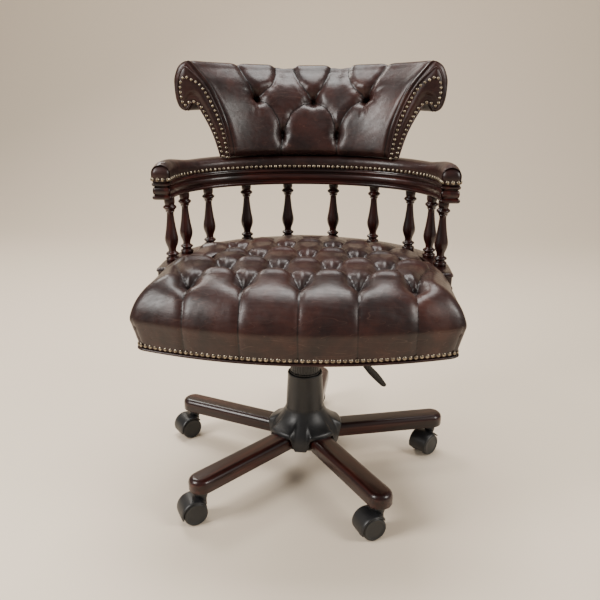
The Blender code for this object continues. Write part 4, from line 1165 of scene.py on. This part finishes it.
# %% Back section
BACK_A, BACK_B, BACK_END, FOOT_Z = 0.262, 0.200, math.radians(48.5), 0.6853
FACING_SHARE = 0.008 / 0.524
FRONT_FACE = ((0, 0), (0.0065, 0.041), (0.0146, 0.074), (0.0258, 0.1035), (0.0385, 0.131),
              (0.0520, 0.154), (0.0675, 0.172), (0.0860, 0.192))
ROLL = ((0.0940, 0.1925), (0.1076, 0.183), (0.1164, 0.163), (0.1175, 0.145), (0.1150, 0.122),
        (0.1085, 0.105), (0.0985, 0.098), (0.0910, 0.099), (0.0774, 0.1195))
REAR_FACE = ((0.0686, 0.109), (0.0485, 0.0754), (0.0371, 0.0515), (0.0287, 0.027), (0.0210, 0))
section = even(flow(FRONT_FACE + ROLL + REAR_FACE, 6), 0.0022)
run_of = np.concatenate([[0], np.cumsum(np.linalg.norm(np.diff(section, axis=0), axis=1))])
FULL_RUN = run_of[-1]


def back_point(share, run):
    """A point of the plain back, from its place along the bend and up the section."""
    share, run = np.broadcast_arrays(np.asarray(share, float), np.asarray(run, float))
    angle = BACK_END + (math.pi - 2 * BACK_END) * share
    out = np.interp(run, run_of, section[:, 0])
    rise = np.interp(run, run_of, section[:, 1])
    # the crest sags a little in the middle and lifts towards the scrolls
    ends = np.abs(2 * share - 1) ** 1.6
    rise = rise + (-0.0045 + 0.0115 * ends) * np.clip(rise / 0.19, 0, 1) ** 3
    return np.stack([BACK_A * np.cos(angle) + out * np.cos(math.pi * share),
                     GALLERY_Y + BACK_B * np.sin(angle) + out * np.sin(math.pi * share)
                     + COLUMN_Y, FOOT_Z + rise], axis=-1)


print(f"back section: {len(section)} points over {FULL_RUN * 1000:.0f} mm")

# %% Back grid
STATIONS = 310
across = np.linspace(FACING_SHARE, 1 - FACING_SHARE, STATIONS)
under = np.linspace(0.0210, 0.0, 6)[1:-1]
shares, runs = np.meshgrid(across, run_of, indexing="ij")
grid = back_point(shares, runs)
along = np.gradient(grid, axis=0)
up = np.gradient(grid, axis=1)
ways = np.cross(up, along)
ways /= np.linalg.norm(ways, axis=2)[:, :, None]
if ways[STATIONS // 2, 20, 1] > 0:
    ways = -ways


def bump_at(value, low, high):
    """A smooth hill between two places, 1 in the middle."""
    x = np.clip((value - low) / (high - low), 0, 1)
    return np.sin(x * math.pi) ** 0.8


edge_gap = np.minimum(shares, 1 - shares) * 0.60
lift = 0.0065 * bump_at(runs, 0.0, 0.20) + 0.003 * bump_at(runs, 0.15, 0.34)
lift *= np.clip(edge_gap / 0.030, 0, 1) ** 0.5
# low down the pad leans out over the arm pad, and only its last edge tucks under
lift += 0.0110 * np.clip(1 - runs / 0.100, 0, 1) ** 1.3 * np.clip(edge_gap / 0.020, 0, 1)
lift -= 0.0100 * np.clip(1 - runs / 0.014, 0, 1) ** 2
lift -= 0.0035 * np.clip(1 - edge_gap / 0.010, 0, 1) ** 2
flat = (grid + ways * lift[:, :, None]).reshape(-1, 3)
ways = ways.reshape(-1, 3)
print("back grid:", len(flat), "points")

# %% Back pleats
def on_back(share, run, raised=0.0):
    """Points on the swelled back for a line of (share, run) places."""
    rows_at = np.interp(share, across, np.arange(STATIONS))
    cols_at = np.interp(run, run_of, np.arange(len(run_of)))
    pick = np.round(rows_at).astype(int) * len(run_of) + np.round(cols_at).astype(int)
    return flat[pick] + ways[pick] * raised


def back_line(*places):
    """A line over the back through (share, run) places."""
    path = even([(s * 0.6, r) for s, r in flow(places, 6)], 0.005)
    return on_back(path[:, 0] / 0.6, path[:, 1])


UPPER = ((0.245, 0.1300), (0.490, 0.1235), (0.750, 0.1320))
LOWER = ((0.350, 0.0450), (0.655, 0.0450))
CREST_ENDS = ((0.226, 0.366), (0.436, 0.566), (0.634, 0.772))
back_pleats = []
for (s, r), (left_end, right_end) in zip(UPPER, CREST_ENDS):
    for end, bow in ((left_end, -0.002), (right_end, 0.002)):
        knee = s + (end - s) * 0.70 + bow
        back_pleats.append((back_line((s, r), (knee, 0.163), (end, 0.203), (end, 0.240), (end, 0.290)),
                            (0.0115, 0.0080, 0.0064, 0.0050, 0.0020), 0.019))
for (s, r), (t, q) in ((UPPER[0], LOWER[0]), (UPPER[1], LOWER[0]), (UPPER[1], LOWER[1]),
                       (UPPER[2], LOWER[1])):
    middle = ((s + t) / 2 + (t - s) * 0.12, (r + q) / 2 + 0.010)
    back_pleats.append((back_line((s, r), middle, (t, q)), (0.0110, 0.0056, 0.0056, 0.0095), 0.020))
for (s, r), foot_share in zip(LOWER, (0.338, 0.678)):
    back_pleats.append((back_line((s, r), (foot_share, 0.0)), (0.0095, 0.0068, 0.0070), 0.021))
for end in (FACING_SHARE + 0.010, 1 - FACING_SHARE - 0.010):
    back_pleats.append((back_line((end, 0.0), (end, 0.16), (end, 0.30)), (0.0016, 0.0022, 0.0014), 0.006))
soft = [(back_line((0.401, 0.150), (0.401, 0.205), (0.401, 0.290)), (0.0, 0.0085, 0.0090, 0.0), 0.034),
        (back_line((0.600, 0.150), (0.600, 0.205), (0.600, 0.290)), (0.0, 0.0085, 0.0090, 0.0), 0.034)]
for (s, r), side in ((UPPER[0], -1), (UPPER[2], 1)):
    for turn, far in ((0.35, 0.060), (0.05, 0.052), (-0.28, 0.050), (-0.95, 0.055), (-1.35, 0.050)):
        end = (s + side * far / 0.6 * math.cos(turn), r + far * math.sin(turn))
        soft.append((back_line((s, r), end), (0.0032, 0.0018, 0.0), 0.0065))
for s, r in UPPER + LOWER:
    for turn in np.radians((250, 270, 290, 70, 110)):
        end = (s + 0.032 / 0.6 * math.cos(turn), r + 0.036 * math.sin(turn))
        soft.append((back_line((s, r), end), (0.0028, 0.0014, 0.0), 0.0055))
back_buttons = [(on_back(s, r), 0.0115, 0.0165) for s, r in UPPER]
back_buttons += [(on_back(s, r), 0.0070, 0.0165) for s, r in LOWER]
print("back:", len(back_pleats), "pleats,", len(soft), "soft folds")

# %% Button the back
pulled, deep_by, crease_by = pull_in(flat, ways, back_pleats, soft, back_buttons, 0.0008)
behind = (runs > 0.33).reshape(-1)
pulled[behind] = flat[behind]
count = len(run_of)
pulled = pulled.reshape(STATIONS, count, 3)
for _ in range(3):
    eased = pulled.copy()
    eased[1:-1, 1:-1] = (pulled[1:-1, 1:-1] * 2 + pulled[:-2, 1:-1] + pulled[2:, 1:-1]
                         + pulled[1:-1, :-2] + pulled[1:-1, 2:]) / 6
    pulled = eased
foot_line = [pulled[:, -1] + (pulled[:, 0] - pulled[:, -1]) * t for t in (0.25, 0.5, 0.75)]
rings = np.concatenate([pulled, np.stack(foot_line, axis=1)], axis=1)
verts, faces = skin(rings)
tufted = solid("tufted_back", verts, faces, leather, 60, turn_out=False)
pad_out = np.zeros((STATIONS, 3))
# deep and crease drive the leather's painted shade; the foot rings get none
set_attribute(tufted.data, "deep", np.concatenate([deep_by.reshape(STATIONS, count), pad_out], axis=1))
set_attribute(tufted.data, "crease", np.concatenate([crease_by.reshape(STATIONS, count), pad_out], axis=1))
tidy = bmesh.new()
tidy.from_mesh(tufted.data)
bmesh.ops.recalc_face_normals(tidy, faces=tidy.faces)
tidy.to_mesh(tufted.data)
tidy.free()
finish_piece(tufted, "seat", "leather", "back_cushion", "back_frame")
spots = []
for s, r in UPPER + LOWER:
    row = int(round(np.interp(s, across, np.arange(STATIONS))))
    col = int(round(np.interp(r, run_of, np.arange(count))))
    way = ways.reshape(STATIONS, count, 3)[row, col]
    spots.append((pulled[row, col] + way * 0.0016, way))
heads("back_buttons", [spots], button_heads, {
    "Pitch": 0.01, "Radius": 0.0074, "Height": 0.0042, "Seed": 5, "Finish": leather}, "seat", "leather")

# %% [markdown]
# ## Scroll facings
# A thin padded panel closes each end of the back. It is the whole section as a flat
# outline, remeshed and domed by each point's distance from the edge, with a cord piped
# round it and one row of nails that follows the edge up the front, round the scroll and
# down behind.

# %% Facings
def inset_line(line, amounts):
    """A section line moved into the shape by an amount at each point."""
    way = np.gradient(line, axis=0)
    inwards = np.column_stack([way[:, 1], -way[:, 0]])
    inwards /= np.linalg.norm(inwards, axis=1)[:, None]
    return line + inwards * np.asarray(amounts)[:, None]


def on_end(line, end, forward):
    """Section points stood on the right (0) or left (1) end, moved forward of it."""
    side = 1 - 2 * end
    angle = BACK_END if end == 0 else math.pi - BACK_END
    x = BACK_A * math.cos(angle) + side * line[:, 0]
    rise = line[:, 1] + 0.007 * np.clip(line[:, 1] / 0.19, 0, 1) ** 3
    lean = GALLERY_Y + BACK_B * math.sin(angle) + COLUMN_Y
    return np.column_stack([x, np.full(len(x), lean - forward), FOOT_Z + rise])


def rounded(line, passes):
    """The same line with its corners eased."""
    for _ in range(passes):
        line[1:-1] = (line[:-2] + line[1:-1] * 2 + line[2:]) / 4
    return line


nail_inset = np.interp(run_of, (0, 0.12, 0.17, 0.205, 0.26, 0.31, 0.335, 0.38, FULL_RUN),
                       (0.0050, 0.0064, 0.0100, 0.0165, 0.0150, 0.0120, 0.0085, 0.0054, 0.0050))
nail_line = rounded(inset_line(section, nail_inset), 60)
nail_line[:, 1] -= 0.45 * np.maximum(nail_line[:, 1] - 0.152, 0)
nail_section = even(nail_line, 0.0035)
cord_inset = np.interp(run_of, (0, 0.13, 0.18, 0.21, 0.27, 0.32, 0.345, FULL_RUN),
                       (0.0002, 0.0010, 0.0045, 0.0100, 0.0090, 0.0060, 0.0015, 0.0002))
cord_section = even(rounded(inset_line(section, cord_inset), 30), 0.004)
for end, side_name in ((0, "right"), (1, "left")):
    loop = np.vstack([section, np.column_stack([under, np.zeros(len(under))])])
    verts, faces = skin([on_end(loop, end, -0.0078), on_end(loop, end, 0.0014)])
    block = solid("facing_block", verts, faces, leather)
    panel = remeshed(block, 0.0021)
    places = points_of(panel)
    edge = on_end(loop, end, 0.0)
    gap = np.full(len(places), 9.0)
    for a, b in zip(edge, np.roll(edge, -1, axis=0)):
        way = (b - a)[[0, 2]]
        from_a = places[:, [0, 2]] - a[[0, 2]]
        t = np.clip(from_a @ way / max(way @ way, 1e-12), 0, 1)
        gap = np.minimum(gap, np.linalg.norm(from_a - t[:, None] * way, axis=1))
    front = np.clip((edge[0, 1] + 0.002 - places[:, 1]) / 0.003, 0, 1)
    dome = np.clip((gap - 0.010) / 0.012, 0, 1)
    high_up = np.clip((places[:, 2] - FOOT_Z - 0.125) / 0.030, 0, 1)
    shoulder = 0.0016 + 0.0040 * high_up
    turn_in = np.clip(1 - gap / (0.004 + 0.006 * high_up), 0, 1)
    places[:, 1] -= front * (0.0042 * np.sin(dome * math.pi / 2) - shoulder * turn_in ** 2)
    panel.vertices.foreach_set("co", places.ravel())
    panel.update()
    panel.name = f"scroll_panel_{side_name}"
    panel.materials.clear()
    panel.materials.append(leather)
    facing = bpy.data.objects.new(panel.name, panel)
    scene.collection.objects.link(facing)
    finish_piece(facing, "seat", "leather", f"scroll_facing_{side_name}")
    cord = tube_along(f"scroll_cord_{side_name}", on_end(cord_section, end, 0.0014), 0.0019,
                      leather)
    finish_piece(cord, "seat", "leather")
    spots = on_end(nail_section, end, 0.0020)
    for spot in spots:
        rim = np.min(np.linalg.norm(edge[:, [0, 2]] - spot[[0, 2]], axis=1))
        spot[1] -= 0.0040 * math.sin(np.clip((rim - 0.010) / 0.012, 0, 1) * math.pi / 2)
    heads(f"scroll_nails_{side_name}", [[(p, (0, -1, 0)) for p in spots]], nail_rows,
          {**NAIL, "Radius": 0.0034, "Pitch": 0.0101, "Seed": 20 + end}, "seat", "nail_brass")

# %% [markdown]
# ## Legs and hub
# The five legs are flat on top, rounded over along both long edges and finished in a full
# half-round tip. Each is drawn along X and then turned to its own direction; the fibres
# of the wood follow the leg, so the grain is kept in the leg's own directions. The hub is
# one moulded bell. Towards a leg its section stays high and ends in a collar on the wood;
# between two legs it falls to a short skirt.

# %% Legs
STEM_CIRCLE, LEG_ROOT, LEG_LOW, LEG_HIGH = 0.3035, 0.037, 0.068, 0.098
LEG_WIDE, LEG_ROUND = 0.051, 0.0120
LEG_TURNS = [math.radians(14.1 + 72 * k) for k in range(5)]


def turned_plan(points, angle, shift=(0, 0, 0)):
    """Points turned about the column and set in the frame's space."""
    pts = np.array(points, float).reshape(-1, 3)
    c, s = math.cos(angle), math.sin(angle)
    spun = np.column_stack([pts[:, 0] * c - pts[:, 1] * s, pts[:, 0] * s + pts[:, 1] * c, pts[:, 2]])
    return at_chair(spun + np.array(shift))


leg_rings = []
edges = [(0.0025, LEG_LOW), (0.0008, LEG_LOW + 0.0009), (0.0, LEG_LOW + 0.003)]
edges += [(LEG_ROUND * (1 - math.cos(t)), LEG_HIGH - LEG_ROUND * (1 - math.sin(t)))
          for t in np.linspace(0, math.pi / 2, 9)]
for inset, height in edges:
    half = LEG_WIDE / 2 - inset
    ring = [(x, half, height) for x in np.linspace(STEM_CIRCLE - 0.02, LEG_ROOT, 8)]
    ring += [(x, -half, height) for x in np.linspace(LEG_ROOT, STEM_CIRCLE - 0.02, 8)]
    ring += [(STEM_CIRCLE + half * math.cos(t), half * math.sin(t), height)
             for t in np.linspace(-math.pi / 2, math.pi / 2, 25)]
    leg_rings.append(ring)
leg_verts, leg_faces = skin(leg_rings)
for number, angle in enumerate(LEG_TURNS, 1):
    leg = solid(f"mahogany_leg_{number}", turned_plan(leg_verts, angle), leg_faces, mahogany, 40)
    own = turned_plan(points_of(leg.data) - (0, COLUMN_Y, 0), -angle) + (number * 0.7, 0, 0)
    set_attribute(leg.data, "grain", own, "FLOAT_VECTOR")
    finish_piece(leg, "base", "mahogany", f"leg_{number}")

# %% Hub
OVER_LEG = ((0.0431, 0.1450), (0.0437, 0.1424), (0.0452, 0.1392), (0.0482, 0.1335), (0.0530, 0.1262),
            (0.0595, 0.1195), (0.0670, 0.1140), (0.0745, 0.1100), (0.0800, 0.1072), (0.0828, 0.1048),
            (0.0836, 0.1010), (0.0834, 0.0965), (0.0720, 0.0960), (0.0710, 0.0668), (0.0290, 0.0662),
            (0.0290, 0.1440))
BETWEEN = ((0.0431, 0.1450), (0.0437, 0.1424), (0.0452, 0.1392), (0.0482, 0.1335), (0.0530, 0.1258),
           (0.0590, 0.1183), (0.0655, 0.1105), (0.0712, 0.1015), (0.0752, 0.0915), (0.0774, 0.0815),
           (0.0784, 0.0725), (0.0782, 0.0663), (0.0725, 0.0661), (0.0700, 0.0661), (0.0290, 0.0662),
           (0.0290, 0.1440))
SIDES = 240
hub_rings = []
for k in range(SIDES):
    t = 2 * math.pi * k / SIDES
    away = min(abs((t - a + math.pi) % (2 * math.pi) - math.pi) for a in LEG_TURNS)
    high = np.clip((math.radians(27.0) - away) / math.radians(7.5), 0, 1)
    high = high * high * (3 - 2 * high)
    # the collar's crown is level across the leg and rounds off at its two sides
    round_off = 0.0035 * np.clip((away - math.radians(13)) / math.radians(11), 0, 1) ** 2
    ring = []
    for (r0, z0), (r1, z1) in zip(OVER_LEG, BETWEEN):
        r, z = r1 + (r0 - r1) * high, z1 + (z0 - z1) * high
        if 0.0985 < z0 < 0.112:
            z -= round_off * high
        ring.append((r * math.cos(t), r * math.sin(t), z))
    hub_rings.append(ring)
verts, faces = skin(hub_rings + hub_rings[:1], caps=False)
hub = solid("hub_bell", at_chair(verts), faces, black_plastic, 50)
finish_piece(hub, "base", "black_plastic", "base_hub")

# %% [markdown]
# ## Covers, casters and lever
# The lower cover is a slightly tapered tube with a rolled rim; the ribbed top stage
# slides in it. A caster has a smooth rounded hood that hugs two plain wheels.

# %% Telescopic covers
lower = turned([(0.0424, 0.1386), (0.0427, 0.1392), (0.0426, 0.1430), (0.0425, 0.1446), (0.0423, 0.1480),
                (0.0403, 0.1900), (0.0386, 0.2225), (0.0388, 0.2240), (0.0388, 0.2268), (0.0381, 0.2278),
                (0.0371, 0.2279), (0.0368, 0.2270), (0.0368, 0.2000), (0.0375, 0.1400)],
               72, (0, 0, 0))
verts, faces = skin(lower + lower[:1], caps=False)
lower_cover = solid("tapered_cover", at_chair(verts), faces, black_plastic, 40)
finish_piece(lower_cover, "base", "black_plastic", "cover_lower")
RIBS = 30
upper_rings = []
for z, sunk in ((0.1484, 0.0011), (0.1500, 0.0), (0.2300, 0.0), (0.2360, 0.0), (0.3180, 0.0),
                (0.3195, 0.0), (0.3226, 0.0006)):
    ring = []
    for k in range(RIBS * 8):
        t = 2 * math.pi * k / (RIBS * 8)
        groove = 0.0011 * (0.5 - 0.5 * math.cos(RIBS * t)) ** 2 if 0.15 < z < 0.3185 else 0.0
        r = 0.0325 - sunk - groove
        ring.append((r * math.cos(t), r * math.sin(t), z))
    upper_rings.append(ring)
for z in (0.3226, 0.1484):
    upper_rings.append([(0.0305 * math.cos(2 * math.pi * k / (RIBS * 8)),
                         0.0305 * math.sin(2 * math.pi * k / (RIBS * 8)), z) for k in range(RIBS * 8)])
verts, faces = skin(upper_rings + upper_rings[:1], caps=False)
ribbed = solid("ribbed_cover", at_chair(verts), faces, black_plastic, 50)
finish_piece(ribbed, "lift", "black_plastic", "cover_upper")

# %% Casters
WHEEL_R, TRAIL, WEB_HALF, WHEEL_WIDE = 0.0250, 0.019, 0.00725, 0.0155
HOOD_WIDE = WEB_HALF + 0.0003 + WHEEL_WIDE
TRAILS = [math.radians(a) for a in (226.0, 220.0, 218.0, 208.0, 206.0)]


def about_axle(angle_deg, radius, side):
    """A point about the wheels' axle, in the caster's own directions."""
    a = math.radians(angle_deg)
    return (TRAIL + radius * math.cos(a), side, WHEEL_R + radius * math.sin(a))


hood_section = [(0.0259, -HOOD_WIDE), (0.0272, -HOOD_WIDE - 0.0004), (0.0283, -HOOD_WIDE + 0.0006),
                (0.0290, -HOOD_WIDE + 0.0030), (0.0294, -HOOD_WIDE + 0.008), (0.0295, 0.0)]
hood_section += [(r, -y) for r, y in hood_section[-2::-1]]
hood_section += [(0.0259, y) for y in np.linspace(HOOD_WIDE, -HOOD_WIDE, 6)[1:-1]]
hood_verts, hood_faces = skin([[about_axle(a, r, y) for r, y in hood_section]
                               for a in np.linspace(-16, 140, 27)])
web_verts, web_faces = skin([[about_axle(a, 0.0268, s * WEB_HALF) for a in np.linspace(-14, 194, 22)]
                             for s in (-1, 1)])
boss_verts, boss_faces = skin([[(x, y, z) for x, y, z in ring] for ring in turned(
    [(0.0095, 0.032), (0.0095, 0.046), (0.0118, 0.0545), (0.0120, 0.0600), (0.0112, 0.0612)], 32, (0, 0, 0))])
disc = [(0.0, 0.0004), (0.0226, 0.0004), (0.0243, 0.0014), (0.0250, 0.0034), (0.0250, 0.0108),
        (0.0246, 0.0128), (0.0236, 0.0145), (0.0220, 0.0154), (0.0205, 0.0156), (0.0196, 0.0150),
        (0.0188, 0.0146), (0.0120, 0.0152), (0.0, 0.0155)]
for number, (stem, trail) in enumerate(zip(LEG_TURNS, TRAILS), 1):
    stem_at = (STEM_CIRCLE * math.cos(stem), STEM_CIRCLE * math.sin(stem), 0)
    verts, faces = [], []
    for part_verts, part_faces in ((hood_verts, hood_faces), (web_verts, web_faces),
                                   (boss_verts, boss_faces)):
        faces += [tuple(i + len(verts) for i in face) for face in part_faces]
        verts += list(part_verts)
    hood = solid(f"round_hood_{number}", turned_plan(verts, trail, stem_at), faces, black_plastic, 42)
    finish_piece(hood, f"caster_{number}", "black_plastic", f"caster_hood_{number}")
    for side, side_name in ((-1, "right"), (1, "left")):
        rings = [[(TRAIL + r * math.cos(t), side * (WEB_HALF + 0.0003 + y), WHEEL_R + r * math.sin(t))
                  for t in np.linspace(0, 2 * math.pi, 48, endpoint=False)] for r, y in disc]
        verts, faces = skin(rings, caps=False)
        wheel = solid(f"wheel_{side_name}_disc_{number}", turned_plan(verts, trail, stem_at), faces,
                      wheel_plastic, 50)
        finish_piece(wheel, f"wheel_{side_name}_{number}", "black_plastic",
                     f"caster_wheel_{side_name}_{number}")

# %% Height lever
LEVER_AT = np.array((0.030, 0.0, 0.3708))
lever_stations = np.array([
    (-0.030, 0.000, 0.0000, 0.0030, 0.0030), (0.008, 0.000, 0.0000, 0.0030, 0.0030),
    (0.026, -0.013, -0.0023, 0.0032, 0.0032), (0.048, -0.045, -0.0168, 0.0034, 0.0034),
    (0.070, -0.090, -0.0338, 0.0036, 0.0044), (0.080, -0.114, -0.0440, 0.0042, 0.0092),
    (0.092, -0.128, -0.0560, 0.0040, 0.0135), (0.107, -0.133, -0.0735, 0.0036, 0.0140),
    (0.123, -0.134, -0.0910, 0.0034, 0.0125), (0.138, -0.134, -0.1083, 0.0030, 0.0080)])
BLADE_TWIST = math.radians(48)
lever_path = flow(lever_stations, 4)
rings = []
for k, (x, y, z, tall, broad) in enumerate(lever_path):
    ahead, behind = lever_path[min(k + 1, len(lever_path) - 1)], lever_path[max(k - 1, 0)]
    way = (ahead - behind)[:3]
    way /= np.linalg.norm(way)
    across = np.cross(way, (0, 0, 1.0))
    across /= np.linalg.norm(across)
    rise = np.cross(across, way)
    lean = BLADE_TWIST * np.clip((k - 16) / 8, 0, 1)
    across, rise = (across * math.cos(lean) + rise * math.sin(lean),
                    rise * math.cos(lean) - across * math.sin(lean))
    rings.append([np.array((x, y, z)) + LEVER_AT + across * broad * math.cos(t) + rise * tall * math.sin(t)
                  for t in np.linspace(0, 2 * math.pi, 20, endpoint=False)])
tip = lever_path[-1][:3] + LEVER_AT
rings.append([tip + (p - tip) * 0.55 + way * 0.0035 for p in rings[-1]])
verts, faces = skin(rings)
lever = solid("lever_paddle", at_chair(verts), faces, black_plastic, 60)
finish_piece(lever, "lever", "black_plastic", "height_lever")

# %% [markdown]
# ## Under the seat
# Black lining cloth closes the underside of the board, between the mechanism's plate and
# the welt. The tension spring is a helix between the knob's cup and the housing. It is one
# fixed shape that rides on the lift and is not squashed as the seat tilts, though the frame
# lets the seat tilt 12 degrees, further than this spring would.

# %% Lining
cloth_plan = np.vstack([welt_front * 0.992, np.array(welt_back) * 0.992])
cloth_plan = even(np.vstack([cloth_plan, cloth_plan[:1]]), 0.012)[:-1]
cloth_rings = [[(x * k, y * k, z) for x, y in cloth_plan]
               for k, z in ((0.30, 0.3890), (0.70, 0.3890), (0.985, 0.3891), (1.0, 0.3897))]
CLOTH_THICK = 0.0006
cloth_rings += [[(x * k, y * k, z + CLOTH_THICK) for x, y in cloth_plan]
                for k, z in ((1.0, 0.3897), (0.30, 0.3890))]
verts, faces = skin(cloth_rings)
cloth = solid("bottom_lining", at_chair(verts), faces, lining, 40)
finish_piece(cloth, "seat", "black_plastic")

# %% Spring
spring_low, spring_high = (np.array(v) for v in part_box("tension_spring"))
WIRE_R, TURNS = 0.0018, 3.6
spring_middle = (spring_low + spring_high) / 2
COIL_R = (spring_high[0] - spring_low[0]) / 2 - WIRE_R
coil_path = []
for t in np.linspace(0, 1, 150):
    # the last half turn at each end lies flat, as on a ground spring
    climb = np.clip((t * TURNS - 0.45) / (TURNS - 0.9), 0, 1)
    height = spring_low[2] + WIRE_R + climb * (spring_high[2] - spring_low[2] - 2 * WIRE_R)
    turn = 2 * math.pi * TURNS * t
    coil_path.append((spring_middle[0] + COIL_R * math.cos(turn),
                      spring_middle[1] + COIL_R * math.sin(turn), height))
coil = tube_along("coil_spring", coil_path, WIRE_R, bright_steel)
finish_piece(coil, "lift", "bright_steel", "tension_spring")
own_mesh(coil)

# %% End
print("all pieces built")
